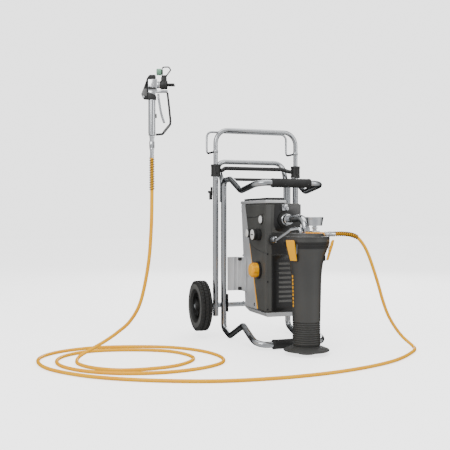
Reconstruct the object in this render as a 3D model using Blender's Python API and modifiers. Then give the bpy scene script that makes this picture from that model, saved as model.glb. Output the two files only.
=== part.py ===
"""Airless paint sprayer on a tube trolley, with its paint container, its hose and its spray gun.

The origin is the centre of the container's foot, on the floor. +Z is up, +Y runs back to the trolley's
uprights and +X to the side where the hose leaves. Lengths are in metres.
"""

import math

import bmesh
import bpy
from mathutils import Vector

# Trolley. Its pieces are placed from the point on the floor midway between the uprights.
TROLLEY_AT = (-0.005, 0.510, 0.0)
REAR_TUBE_X = 0.196
REAR_TUBE_R = 0.0125
REAR_TUBE_BORE_R = 0.0106
REAR_TUBE_LOW = 0.0915
REAR_TUBE_TOP = 0.7645
HANDLE_R = 0.010
HANDLE_TOP = 0.924
HANDLE_FOOT = 0.500
HANDLE_TRAVEL = 0.050
HANGER_BACK = 0.115
COLLAR_R = 0.0215
COLLAR_LOW = 0.714
COLLAR_TOP = 0.768
LOCK_Z = 0.630
LOCK_R = 0.004
AXLE_Y = 0.026
AXLE_Z = 0.136
AXLE_R = 0.011
SPINDLE_R = 0.006
WHEEL_X = 0.260
WHEEL_R = 0.110
TYRE_BORE_R = 0.068
UPRIGHT_X = 0.1575
UPRIGHT_R = 0.0125
UPRIGHT_LOW = 0.0803
UPRIGHT_TOP = 0.640
UPPER_GRIP = (-0.377, 0.671)
LOWER_GRIP = (-0.389, 0.0205)
GRIP_HALF = 0.086

# Power unit
UNIT_HALF = 0.080
UNIT_FRONT = -0.303
UNIT_LOW = 0.137
UNIT_TOP = 0.590
PAN_LOW = 0.116
PAN_TOP = 0.1348
WALL = 0.003
MOTOR_Y = -0.190
PISTON_Z = 0.395
PISTON_R = 0.008
SUCTION_PORT = (0.007, 0.5226)
DELIVERY_PORT = (-0.050, 0.440)
PRESSURE_KNOB = (-0.224, 0.309)
RELIEF_KNOB = (-0.2355, 0.459)
PRIME_KNOB = (-0.149, 0.463)
POWER_BUTTON = (-0.256, 0.5225)
SHAFT_R = 0.005

# Container
FOOT_R = 0.0896
SKIRT_LOW = 0.0135
BASE_R = 0.0330
RIM_R = 0.0900
RIM_TOP = 0.4526
RIB_LOW = 0.034
RIB_TOP = 0.127
RIBS = 9
LID_TOP = 0.470
SUCTION_FOOT = (0.0205, 0.052)
DELIVERY_FOOT = (-0.0087, 0.030)
OUTLET = (0.034, -0.003)
RING_R = 0.040
LATCH_R = 0.0815
LATCH_Z = 0.372
LATCH_TURNS = {
    "left": math.radians(207.5),
    "right": math.radians(-32.5),
    "rear": math.radians(87.5),
}

# Hose and gun. The gun's pieces are placed from the point on the floor under its handle, +X forwards.
HOSE_R = 0.0065
HOSE_FLOOR = HOSE_R + 0.0003
GUN_AT = (-0.6210, -0.0144, 0.0)
GUN_TURN = math.radians(-19.5)
GUN_AXIS_Z = 1.008
TIP_U = 0.043
TRIGGER_PIVOT = (0.0235, 0.971)
CATCH_PIVOT = (0.0155, 0.8905)

GAP = 0.0003

MATERIALS = {
    "tube_steel": ("#C6C9CC", 0.28, 1.0),
    "sheet_steel": ("#A9ACAE", 0.38, 0.9),
    "machined_steel": ("#B9BCC0", 0.22, 1.0),
    "black_plastic": ("#1A1A1A", 0.55, 0.0),
    "cover_plastic": ("#4F4F4C", 0.50, 0.0),
    "container_plastic": ("#414140", 0.45, 0.0),
    "yellow_plastic": ("#FFB40C", 0.40, 0.0),
    "tyre_rubber": ("#1B1B1A", 0.80, 0.0),
    "hose_jacket": ("#F6B61C", 0.45, 0.0),
    "motor_iron": ("#3B3D40", 0.50, 0.8),
    "board_green": ("#1F5B38", 0.50, 0.0),
    "needle_black": ("#111111", 0.50, 0.0),
}

model = bpy.data.collections.new("airless_paint_sprayer")
cutters = bpy.data.collections.new("cutters")


def linear(hexColour):
    values = [int(hexColour[i : i + 2], 16) / 255 for i in (1, 3, 5)]
    return [v / 12.92 if v <= 0.04045 else ((v + 0.055) / 1.055) ** 2.4 for v in values] + [1.0]


def paint(name):
    material = bpy.data.materials.get(name)
    if material is None:
        colour, roughness, metallic = MATERIALS[name]
        material = bpy.data.materials.new(name)
        material.use_nodes = True
        shader = material.node_tree.nodes["Principled BSDF"]
        shader.inputs["Base Color"].default_value = linear(colour)
        shader.inputs["Roughness"].default_value = roughness
        shader.inputs["Metallic"].default_value = metallic
        material.diffuse_color = linear(colour)
    return material


def empty(name, location, turn=0.0, parent=None):
    anchor = bpy.data.objects.new(name, None)
    anchor.location = location
    anchor.rotation_euler = (0, 0, turn)
    anchor.parent = parent
    model.objects.link(anchor)
    return anchor


def add(name, data, material, parent, location=(0, 0, 0), rotation=(0, 0, 0)):
    """A new object; with no material it is a cutter, which stays out of the model."""
    piece = bpy.data.objects.new(name, data)
    piece.location = location
    piece.rotation_euler = rotation
    piece.parent = parent
    if material:
        data.materials.append(paint(material))
        model.objects.link(piece)
    else:
        cutters.objects.link(piece)
        piece.hide_render = True
        piece.display_type = "WIRE"
    return piece


def smooth(piece):
    piece.data.shade_smooth()
    piece.data.set_sharp_from_angle(angle=math.radians(35))
    return piece


def block(name, low, high, material, parent, turn=0.0):
    """A box between two corners, turned about the parent's Z axis."""
    size = Vector(high) - Vector(low)
    bm = bmesh.new()
    bmesh.ops.create_cube(bm, size=1.0)
    bmesh.ops.scale(bm, vec=size, verts=bm.verts)
    bmesh.ops.translate(bm, vec=(Vector(low) + Vector(high)) / 2, verts=bm.verts)
    mesh = bpy.data.meshes.new(name)
    bm.to_mesh(mesh)
    bm.free()
    return add(name, mesh, material, parent, rotation=(0, 0, turn))


def cylinder(name, radius, low, high, centre, axis, material, parent, sides=20):
    """A cylinder from low to high along an axis; centre gives the other two coordinates, in order."""
    bm = bmesh.new()
    bmesh.ops.create_cone(
        bm, cap_ends=True, segments=sides, radius1=radius, radius2=radius, depth=high - low
    )
    mesh = bpy.data.meshes.new(name)
    bm.to_mesh(mesh)
    bm.free()
    middle = (low + high) / 2
    place = list(centre)
    place.insert("XYZ".index(axis), middle)
    turn = {"X": (0, math.pi / 2, 0), "Y": (math.pi / 2, 0, 0), "Z": (0, 0, 0)}[axis]
    return smooth(add(name, mesh, material, parent, place, turn))


def turned(name, profile, material, parent, location=(0, 0, 0), axis="Z", sides=24):
    """A turned piece. The profile's (radius, height) points run down the outer side. A profile that
    leaves the axis is closed into a ring."""
    mesh = bpy.data.meshes.new(name)
    bm = bmesh.new()
    points = [bm.verts.new((r, 0, h)) for r, h in profile]
    ring = profile[0][0] > 0
    for a, b in zip(points, points[1:] + points[:1] if ring else points[1:]):
        bm.edges.new((a, b))
    bm.to_mesh(mesh)
    bm.free()
    turn = {"X": (0, math.pi / 2, 0), "Y": (-math.pi / 2, 0, 0), "Z": (0, 0, 0)}[axis]
    piece = add(name, mesh, material, parent, location, turn)
    screw = piece.modifiers.new("turn", "SCREW")
    screw.axis = "Z"
    screw.steps = sides
    screw.render_steps = sides
    screw.use_merge_vertices = True
    screw.merge_threshold = 1e-5
    screw.use_smooth_shade = True
    return piece


def rounded(corners, radii, steps=5):
    """The corners of a path with each inner corner replaced by an arc of its radius."""
    corners = [Vector(c) for c in corners]
    path = [corners[0]]
    for i in range(1, len(corners) - 1):
        before = (corners[i - 1] - corners[i]).normalized()
        after = (corners[i + 1] - corners[i]).normalized()
        half = before.angle(after) / 2
        reach = radii[i - 1] / math.tan(half)
        centre = corners[i] + (before + after).normalized() * radii[i - 1] / math.sin(half)
        start = corners[i] + before * reach - centre
        end = corners[i] + after * reach - centre
        for k in range(steps + 1):
            path.append(centre + start.slerp(end, k / steps).normalized() * radii[i - 1])
    path.append(corners[-1])
    return path


def mirrored(path):
    """A left half path followed by its mirror image in X."""
    return list(path) + [(-x, y, z) for x, y, z in reversed(path)]


def tube(name, path, radius, material, parent, sides=12, closed=False):
    """A round bar or hose along a path of points."""
    curve = bpy.data.curves.new(name, "CURVE")
    curve.dimensions = "3D"
    curve.bevel_depth = radius
    curve.bevel_resolution = sides // 2 - 2
    curve.use_fill_caps = True
    spline = curve.splines.new("POLY")
    spline.points.add(len(path) - 1)
    spline.use_cyclic_u = closed
    for point, place in zip(spline.points, path):
        point.co = (*place, 1)
    return add(name, curve, material, parent)


def plate(name, outline, low, high, axis, material, parent, location=(0, 0, 0)):
    """A flat outline made solid from low to high along an axis. Its points are the other two
    coordinates, in order, from the location."""
    curve = bpy.data.curves.new(name, "CURVE")
    curve.dimensions = "2D"
    curve.fill_mode = "BOTH"
    curve.extrude = (high - low) / 2
    spline = curve.splines.new("POLY")
    spline.points.add(len(outline) - 1)
    spline.use_cyclic_u = True
    for point, (a, b) in zip(spline.points, outline):
        point.co = (a, b, 0, 1)
    turn = {"X": (math.pi / 2, 0, math.pi / 2), "Y": (math.pi / 2, 0, 0), "Z": (0, 0, 0)}[axis]
    place = Vector(location)
    place["XYZ".index(axis)] += (low + high) / 2
    return add(name, curve, material, parent, place, turn)


def band(path, thickness):
    """The outline of a strip of one thickness along a flat path."""
    path = [Vector(p) for p in path]
    left, right = [], []
    for i, point in enumerate(path):
        ahead = path[min(i + 1, len(path) - 1)] - point
        behind = point - path[max(i - 1, 0)]
        along = (ahead.normalized() + behind.normalized()).normalized()
        across = Vector((-along.y, along.x)) * thickness / 2
        stretch = max(0.5, (ahead.normalized() or along).dot(along)) if ahead.length else 1.0
        left.append(point + across / stretch)
        right.append(point - across / stretch)
    return [tuple(p) for p in left + right[::-1]]


def meshed(piece):
    """The same piece as a welded mesh with its modifiers applied, for a Boolean."""
    bpy.context.view_layer.update()
    graph = bpy.context.evaluated_depsgraph_get()
    mesh = bpy.data.meshes.new_from_object(piece.evaluated_get(graph))
    bm = bmesh.new()
    bm.from_mesh(mesh)
    bmesh.ops.remove_doubles(bm, verts=bm.verts, dist=1e-6)
    bm.to_mesh(mesh)
    bm.free()
    made = bpy.data.objects.new(piece.name, mesh)
    made.parent = piece.parent
    for collection in piece.users_collection:
        collection.objects.link(made)
    made.matrix_world = piece.matrix_world
    made.hide_render = piece.hide_render
    made.display_type = piece.display_type
    name = piece.name
    bpy.data.objects.remove(piece)
    made.name = name
    return made


def boolean(piece, other, operation):
    if other.type != "MESH":
        other = meshed(other)
    modifier = piece.modifiers.new(operation.lower(), "BOOLEAN")
    modifier.object = other
    modifier.operation = operation
    modifier.solver = "EXACT"
    return piece


def cut(piece, *others):
    for other in others:
        boolean(piece, other, "DIFFERENCE")
    return piece


def join(piece, *others):
    for other in others:
        boolean(piece, other, "UNION")
    return piece


def shell(name, corners, openSide, material, parent, thickness):
    """A box shell from its eight corners: the four of its low X side, then of its high X side, each in
    the order back low, front low, front top, back top. One side is left open and the wall grows inwards."""
    bm = bmesh.new()
    v = [bm.verts.new(c) for c in corners]
    sides = {
        "low_x": (0, 3, 2, 1),
        "high_x": (4, 5, 6, 7),
        "bottom": (0, 1, 5, 4),
        "front": (1, 2, 6, 5),
        "top": (2, 3, 7, 6),
        "back": (3, 0, 4, 7),
    }
    for side, loop in sides.items():
        if side != openSide:
            bm.faces.new([v[i] for i in loop])
    bmesh.ops.recalc_face_normals(bm, faces=bm.faces)
    mesh = bpy.data.meshes.new(name)
    bm.to_mesh(mesh)
    bm.free()
    piece = add(name, mesh, material, parent)
    wall = piece.modifiers.new("wall", "SOLIDIFY")
    wall.thickness = thickness
    wall.offset = -1
    return piece


def sides_of(halfWidth, outline):
    return [(-halfWidth, y, z) for y, z in outline] + [(halfWidth, y, z) for y, z in outline]


# ---- trolley


def rear_tubes(trolley):
    for side, x in (("left", -REAR_TUBE_X), ("right", REAR_TUBE_X)):
        profile = [
            (REAR_TUBE_R, REAR_TUBE_TOP),
            (REAR_TUBE_R, REAR_TUBE_LOW),
            (REAR_TUBE_BORE_R, REAR_TUBE_LOW),
            (REAR_TUBE_BORE_R, REAR_TUBE_TOP),
        ]
        rail = turned(f"rear_tube_{side}", profile, "tube_steel", trolley, (x, 0, 0), sides=16)
        hole = cylinder(
            f"lock_hole_{side}", LOCK_R + 0.0006, -0.020, -0.007, (x, LOCK_Z), "Y", None, trolley, 12
        )
        cut(rail, hole)
        collar = [
            (COLLAR_R, COLLAR_TOP),
            (COLLAR_R, COLLAR_LOW),
            (REAR_TUBE_R + GAP, COLLAR_LOW),
            (REAR_TUBE_R + GAP, REAR_TUBE_TOP + 0.0005),
            (HANDLE_R + 0.0004, REAR_TUBE_TOP + 0.0005),
            (HANDLE_R + 0.0004, COLLAR_TOP),
        ]
        turned(f"collar_{side}", collar, "black_plastic", trolley, (x, 0, 0), sides=20)
        # A sprung button fills the hole and can be pressed into the groove in the handle's leg.
        button = [(0, 0.0045), (LOCK_R * 0.6, 0.0045), (LOCK_R, 0.0030), (LOCK_R, -0.0050), (0, -0.0050)]
        turned(
            f"lock_button_{side}",
            button,
            "machined_steel",
            trolley,
            (x, -REAR_TUBE_R, LOCK_Z),
            "Y",
            12,
        ).rotation_euler = (math.pi / 2, 0, 0)


def handle(trolley):
    """The telescopic handle: a bent tube in the rear tubes, with a wire hanger for the hose behind it."""
    left = [(-REAR_TUBE_X, 0, HANDLE_FOOT), (-REAR_TUBE_X, 0, HANDLE_TOP)]
    bar = meshed(
        tube("handle", rounded(mirrored(left), (0.060, 0.060)), HANDLE_R, "tube_steel", trolley)
    )
    wire = [
        (-REAR_TUBE_X, 0.004, 0.826),
        (-0.200, HANGER_BACK, 0.826),
        (-0.200, HANGER_BACK, HANDLE_TOP + 0.003),
    ]
    hanger = rounded(mirrored(wire), (0.022, 0.026, 0.026, 0.022), 4)
    join(bar, tube("hanger_wire", hanger, 0.0048, None, trolley, 8))
    for x in (-REAR_TUBE_X, REAR_TUBE_X):
        groove = block(
            "leg_groove",
            (x - LOCK_R - 0.001, -0.012, LOCK_Z - 0.012),
            (x + LOCK_R + 0.001, -0.004, LOCK_Z + HANDLE_TRAVEL + 0.010),
            None,
            trolley,
        )
        cut(bar, groove)


def wheels(trolley):
    shaft = [
        (0, 0.291),
        (0.010, 0.291),
        (0.010, 0.2865),
        (SPINDLE_R, 0.2865),
        (SPINDLE_R, 0.2225),
        (AXLE_R, 0.2225),
    ]
    axle = shaft + [(r, -h) for r, h in reversed(shaft)]
    turned("axle", axle, "tube_steel", trolley, (0, AXLE_Y, AXLE_Z), "X", 16)
    tyre = [
        (WHEEL_R, 0.017),
        (WHEEL_R, -0.017),
        (0.104, -0.024),
        (0.073, -0.025),
        (TYRE_BORE_R, -0.020),
        (TYRE_BORE_R, 0.020),
        (0.073, 0.025),
        (0.104, 0.024),
    ]
    half = [
        (TYRE_BORE_R - 0.0005, 0.020),
        (0.060, 0.020),
        (0.056, 0.004),
        (0.020, 0.004),
        (0.018, 0.026),
        (SPINDLE_R + 0.0004, 0.026),
    ]
    rim = [(r, -h) for r, h in half]
    rim = [half[0]] + rim + half[:0:-1]
    for side, x in (("left", -WHEEL_X), ("right", WHEEL_X)):
        place = (x, AXLE_Y, AXLE_Z)
        turned(f"tyre_{side}", tyre, "tyre_rubber", trolley, place, "X", 24)
        turned(f"wheel_rim_{side}", rim, "black_plastic", trolley, place, "X", 24)


def guard_frame(trolley):
    """The front frame: two uprights, a bow above and a bow below, each with a grip on its cross tube."""
    for side, x in (("left", -UPRIGHT_X), ("right", UPRIGHT_X)):
        path = [(x, 0, UPRIGHT_LOW), (x, 0, UPRIGHT_TOP)]
        tube(f"upright_{side}", path, UPRIGHT_R, "tube_steel", trolley)
    y, z = UPPER_GRIP
    upper = [
        (-UPRIGHT_X, 0, UPRIGHT_TOP + GAP),
        (-UPRIGHT_X, 0, 0.697),
        (-0.155, -0.082, 0.700),
        (-0.150, -0.200, 0.644),
        (-0.145, y, z),
    ]
    radii = (0.030, 0.060, 0.050, 0.050)
    path = rounded(mirrored(upper), radii + radii[::-1], 4)
    tube("upper_bow", path, UPRIGHT_R, "tube_steel", trolley)
    y, z = LOWER_GRIP
    lower = [
        (-UPRIGHT_X, 0, UPRIGHT_LOW - GAP),
        (-UPRIGHT_X, 0, 0.034),
        (-0.155, -0.077, 0.0112),
        (-0.150, -0.225, 0.077),
        (-0.148, -0.310, 0.040),
        (-0.151, y, z),
    ]
    radii = (0.030, 0.020, 0.022, 0.080, 0.045)
    path = rounded(mirrored(lower), radii + radii[::-1], 4)
    tube("lower_bow", path, UPRIGHT_R, "tube_steel", trolley)
    for name, (y, z), radius in (("upper_grip", UPPER_GRIP, 0.0190), ("lower_grip", LOWER_GRIP, 0.0200)):
        half = [(UPRIGHT_R + 0.0006, GRIP_HALF), (radius - 0.003, GRIP_HALF), (radius, GRIP_HALF - 0.004)]
        grip = half[1:] + [(r, -h) for r, h in reversed(half)] + half[:1]
        turned(name, grip, "black_plastic", trolley, (0, y, z), "X", 20)


def braces(trolley):
    ends = [(-REAR_TUBE_X + COLLAR_R + 0.0006, 0, 0.742), (-0.164, 0, 0.742), (-0.142, 0.030, 0.754)]
    upper = rounded(mirrored(ends), (0.015, 0.020, 0.020, 0.015), 3)
    tube("cross_brace_upper", upper, 0.009, "black_plastic", trolley)
    back = UPRIGHT_R + 0.011 + GAP
    x = UPRIGHT_X - 0.0125
    tube("cross_brace_lower", [(-x, back, 0.704), (x, back, 0.704)], 0.007, "black_plastic", trolley)
    rest = [(-UPRIGHT_X, back, 0.600), (-UPRIGHT_X, back, 0.700), (-0.165, 0.080, 0.787)]
    path = rounded(mirrored(rest), (0.045, 0.040, 0.040, 0.045), 4)
    tube("hose_rest", path, 0.011, "tube_steel", trolley)
    # Folded plates hold the unit between the uprights.
    for side, sign in (("left", -1), ("right", 1)):
        fold = [
            (sign * (UPRIGHT_X - UPRIGHT_R - 0.0004), -0.012),
            (sign * 0.098, -0.012),
            (sign * 0.0828, -0.032),
            (sign * 0.0828, -0.088),
        ]
        plate(f"side_bracket_{side}", band(fold, 0.0025), 0.203, 0.354, "Z", "sheet_steel", trolley)


# ---- power unit


def housings(trolley):
    """The rear housing and the front cover meet on a slanted line, seen from the side."""
    top, low = UNIT_TOP + 0.002, UNIT_LOW
    rear = [(-0.062, low), (-0.2060, low), (-0.064, top), (-0.012, top)]
    casing = meshed(
        shell("rear_housing", sides_of(UNIT_HALF, rear), "front", "sheet_steel", trolley, 0.0025)
    )
    # The lid plate reaches over the front cover, except above the pump.
    left, right, back = -UNIT_HALF - 0.001, UNIT_HALF + 0.001, -0.010
    outline = [(left, UNIT_FRONT - 0.002), (0.012, UNIT_FRONT - 0.002), (0.012, -0.156), (right, -0.156)]
    outline += [(right, back), (left, back)]
    join(casing, plate("lid_plate", outline, UNIT_TOP + 0.0006, 0.604, "Z", None, trolley))
    front = [(-0.2072, low), (UNIT_FRONT, low), (UNIT_FRONT, UNIT_TOP), (-0.0658, UNIT_TOP)]
    cover = meshed(
        shell("front_cover", sides_of(UNIT_HALF, front), "back", "cover_plastic", trolley, WALL)
    )
    for name, (y, z) in (
        ("pressure", PRESSURE_KNOB),
        ("relief", RELIEF_KNOB),
        ("prime", PRIME_KNOB),
        ("power", POWER_BUTTON),
    ):
        hole = cylinder(f"{name}_hole", SHAFT_R + 0.0006, -0.090, -0.070, (y, z), "X", None, trolley, 12)
        cut(cover, hole)
    for name, (x, z), radius in (("suction", SUCTION_PORT, 0.0286), ("delivery", DELIVERY_PORT, 0.0226)):
        opening = cylinder(
            f"{name}_opening", radius, UNIT_FRONT - 0.01, UNIT_FRONT + 0.01, (x, z), "Y", None, trolley, 20
        )
        cut(cover, opening)
    # The pan narrows towards the floor.
    corners = []
    for side in (-1, 1):
        corners += [(side * 0.067, -0.086, PAN_LOW), (side * 0.067, -0.288, PAN_LOW)]
        corners += [(side * UNIT_HALF, UNIT_FRONT, PAN_TOP), (side * UNIT_HALF, -0.062, PAN_TOP)]
    shell("bottom_pan", corners, "top", "sheet_steel", trolley, 0.0025)


def controls(trolley):
    """Three turning knobs and a push button on the unit's side wall, each with its shaft through it."""
    shafts = {
        "pressure_knob": (
            PRESSURE_KNOB,
            [(0.020, 0.0400), (0.0265, 0.0380), (0.030, 0.0065), (0.030, 0.0040)],
        ),
        "relief_knob": (
            RELIEF_KNOB,
            [(0.0225, 0.0350), (0.024, 0.0330), (0.025, 0.0060), (0.025, GAP)],
        ),
        "prime_knob": (
            PRIME_KNOB,
            [(0.0165, 0.0250), (0.018, 0.0235), (0.019, 0.0050), (0.019, GAP)],
        ),
        "power_button": (
            POWER_BUTTON,
            [(0.0120, 0.0090), (0.0155, 0.0080), (0.016, 0.0060), (0.016, 0.0042)],
        ),
    }
    for name, ((y, z), rim) in shafts.items():
        profile = [(0, rim[0][1])] + rim + [(SHAFT_R, rim[-1][1]), (SHAFT_R, -0.013), (0, -0.013)]
        knob = turned(
            name,
            profile,
            "yellow_plastic" if name == "pressure_knob" else "black_plastic",
            trolley,
            (-UNIT_HALF, y, z),
            "X",
            20,
        )
        knob.rotation_euler = (0, -math.pi / 2, 0)
        if name == "pressure_knob":
            knob = meshed(knob)
            fin = block("pointer", (-0.114, y - 0.036, z - 0.006), (-0.088, y, z + 0.006), None, trolley)
            join(knob, fin)


def motor_and_pump(trolley):
    can = [
        (0.055, 0.335),
        (0.055, 0.150),
        (0.0068, 0.150),
        (0.0068, 0.154),
        (0.050, 0.154),
        (0.050, 0.335),
    ]
    turned("motor_can", can, "motor_iron", trolley, (0, MOTOR_Y, 0))
    # Shaft, armature and fan are one turned piece, and the eccentric sits on the shaft's top end.
    spindle = [
        (0, 0.408),
        (0.006, 0.408),
        (0.006, 0.352),
        (0.050, 0.352),
        (0.050, 0.342),
        (0.006, 0.342),
        (0.006, 0.320),
        (0.047, 0.320),
        (0.047, 0.160),
        (0.006, 0.160),
        (0.006, 0.140),
        (0, 0.140),
    ]
    rotor = meshed(turned("rotor", spindle, "machined_steel", trolley, (0, MOTOR_Y, 0), sides=20))
    join(rotor, cylinder("eccentric", 0.020, 0.385, 0.405, (0.004, MOTOR_Y), "Z", None, trolley, 20))
    pump = block("pump_block", (-0.060, -0.290, 0.376), (0.040, -0.236, 0.566), "machined_steel", trolley)
    for name, (x, z), radius in (("suction", SUCTION_PORT, 0.028), ("delivery", DELIVERY_PORT, 0.022)):
        boss = cylinder(f"{name}_boss", radius, UNIT_FRONT - 0.0090, -0.286, (x, z), "Y", None, trolley)
        join(pump, boss)
    bore = cylinder("piston_bore", PISTON_R + 0.0006, -0.275, -0.230, (0, PISTON_Z), "Y", None, trolley, 16)
    cut(pump, bore)
    cylinder("piston", PISTON_R, -0.255, -0.2175, (0, PISTON_Z), "Y", "machined_steel", trolley, 16)
    block("control_board", (0.055, -0.210, 0.440), (0.058, -0.120, 0.560), "board_green", trolley)


def pipes(trolley):
    """The suction pipe and the delivery pipe run from the pump's ports to the container's lid."""
    x, z = SUCTION_PORT
    face = UNIT_FRONT - 0.0093
    toTrolley = Vector(TROLLEY_AT)
    foot = Vector((*SUCTION_FOOT, LID_TOP + GAP)) - toTrolley
    path = [(x, face - 0.004, z), (foot.x, foot.y, z + 0.008), tuple(foot)]
    suction = meshed(tube("suction_pipe", rounded(path, (0.040,), 8), 0.0155, "machined_steel", trolley))
    join(suction, cylinder("suction_flange", 0.029, face - 0.008, face, (x, z), "Y", None, trolley))
    x, z = DELIVERY_PORT
    foot = Vector((*DELIVERY_FOOT, LID_TOP + GAP)) - toTrolley
    path = [
        (x, face, z),
        (x, face - 0.036, z),
        (-0.028, -0.440, 0.482),
        (foot.x, foot.y, 0.486),
        tuple(foot),
    ]
    tube("delivery_pipe", rounded(path, (0.020, 0.030, 0.012), 4), 0.0085, "machined_steel", trolley)


# ---- container


def container():
    wall = [(0, 0.040), (0.046, 0.040), (0.049, RIB_TOP), (0.0562, 0.313), (0.066, 0.373)]
    wall += [(0.077, 0.404), (0.0868, 0.4355), (0.0868, RIM_TOP)]
    skin = [(RIM_R, RIM_TOP), (0.0905, 0.4355), (0.080, 0.404), (0.069, 0.373), (0.0595, 0.313)]
    skin += [(0.0560, 0.200), (0.0545, RIB_TOP)]
    pitch = (RIB_TOP - RIB_LOW) / RIBS
    for i in range(RIBS):
        skin += [(0.0512, RIB_TOP - (i + 0.45) * pitch), (0.0545, RIB_TOP - (i + 0.9) * pitch)]
    skin += [(0.0510, RIB_LOW - 0.001), (FOOT_R, 0.0185), (FOOT_R, SKIRT_LOW), (BASE_R + 0.002, SKIRT_LOW)]
    skin += [(BASE_R, 0), (0, 0)]
    vessel = meshed(turned("container", wall + skin, "container_plastic", None))
    for turn in LATCH_TURNS.values():
        low, high = (0.064, -0.012, 0.362), (LATCH_R - 0.0085, 0.012, 0.384)
        seat = block("latch_seat", low, high, None, None, turn)
        join(vessel, seat)


def lid():
    cap = [(0, LID_TOP), (0.066, LID_TOP), (0.072, 0.4575), (RIM_R, 0.4575)]
    cap += [(RIM_R, RIM_TOP + GAP), (0, RIM_TOP + GAP)]
    cover = meshed(turned("container_lid", cap, "container_plastic", None))
    cut(cover, cylinder("outlet_pocket", RING_R + 0.0005, 0.4577, 0.480, OUTLET, "Z", None, None, 32))
    ring = [(RING_R, 0.468), (RING_R, 0.4580), (0.0300, 0.4580), (0.0300, 0.468)]
    turned("lid_ring", ring, "yellow_plastic", None, (*OUTLET, 0), sides=32)
    x, y = OUTLET
    low, high = (x - 0.016, y - 0.016, 0.4685), (x + 0.016, y + 0.016, 0.479)
    manifold = block("manifold", low, high, "machined_steel", None)
    join(manifold, cylinder("manifold_base", 0.0292, 0.4580, 0.4690, OUTLET, "Z", None, None, 24))
    join(manifold, cylinder("gauge_stem", 0.008, 0.4780, 0.4985, OUTLET, "Z", None, None, 12))
    # The dip tube hangs under the suction pipe and bends in to the middle of the container.
    path = [(*SUCTION_FOOT, RIM_TOP - 0.0002), (*SUCTION_FOOT, 0.425)]
    path += [(0.006, 0.008, 0.345), (0.004, 0.004, 0.060)]
    dip = meshed(tube("dip_tube", rounded(path, (0.05, 0.05), 3), 0.0095, "machined_steel", None, 8))
    join(dip, cylinder("strainer", 0.018, 0.0450, 0.0850, (0.004, 0.004), "Z", None, None, 16))


def latches():
    """Three over-centre levers. Each is hinged at its lower end and swings outwards."""
    lever = [(-0.0045, -0.006), (0.0035, -0.007), (0.0255, 0.071), (0.0200, 0.073), (0.0150, 0.066)]
    for side, turn in LATCH_TURNS.items():
        place = (LATCH_R * math.cos(turn), LATCH_R * math.sin(turn), LATCH_Z)
        hinge = empty(f"latch_{side}_hinge", place, turn)
        plate(f"latch_{side}", lever, -0.018, 0.018, "Y", "yellow_plastic", hinge)


def gauge():
    case = [(0, 0.5265), (0.0305, 0.5265), (0.0305, 0.533), (0.0345, 0.533), (0.0345, 0.5270), (0.0290, 0.4988)]
    case.append((0, 0.4988))
    turned("pressure_gauge", case, "machined_steel", None, (*OUTLET, 0))
    blade = [(-0.007, -0.0016), (0.024, -0.0006), (0.024, 0.0006), (-0.007, 0.0016)]
    plate("gauge_needle", blade, 0.5285, 0.5300, "Z", "needle_black", None, (*OUTLET, 0))
    inner_end = OUTLET[0] + RING_R + GAP
    fitting = [(0, 0.122), (0.0100, 0.122), (0.0105, 0.0930), (0.0078, 0.0915)]
    fitting += [(0.0078, inner_end), (0, inner_end)]
    turned("hose_fitting", fitting, "machined_steel", None, (0, OUTLET[1], 0.466), "X", 12)


# ---- hose


def along(points, steps):
    """A smooth curve through the points, by Catmull and Rom, with so many steps between two of them."""
    points = [Vector(p) for p in points]
    ends = [points[0] * 2 - points[1]] + points + [points[-1] * 2 - points[-2]]
    path = []
    for a, b, c, d in zip(ends, ends[1:], ends[2:], ends[3:]):
        for k in range(steps):
            t = k / steps
            square = (a * 2 - b * 5 + c * 4 - d) * t**2
            cube = (b * 3 - a - c * 3 + d) * t**3
            path.append((b * 2 + (c - a) * t + square + cube) / 2)
    return path + [points[-1]]


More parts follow.
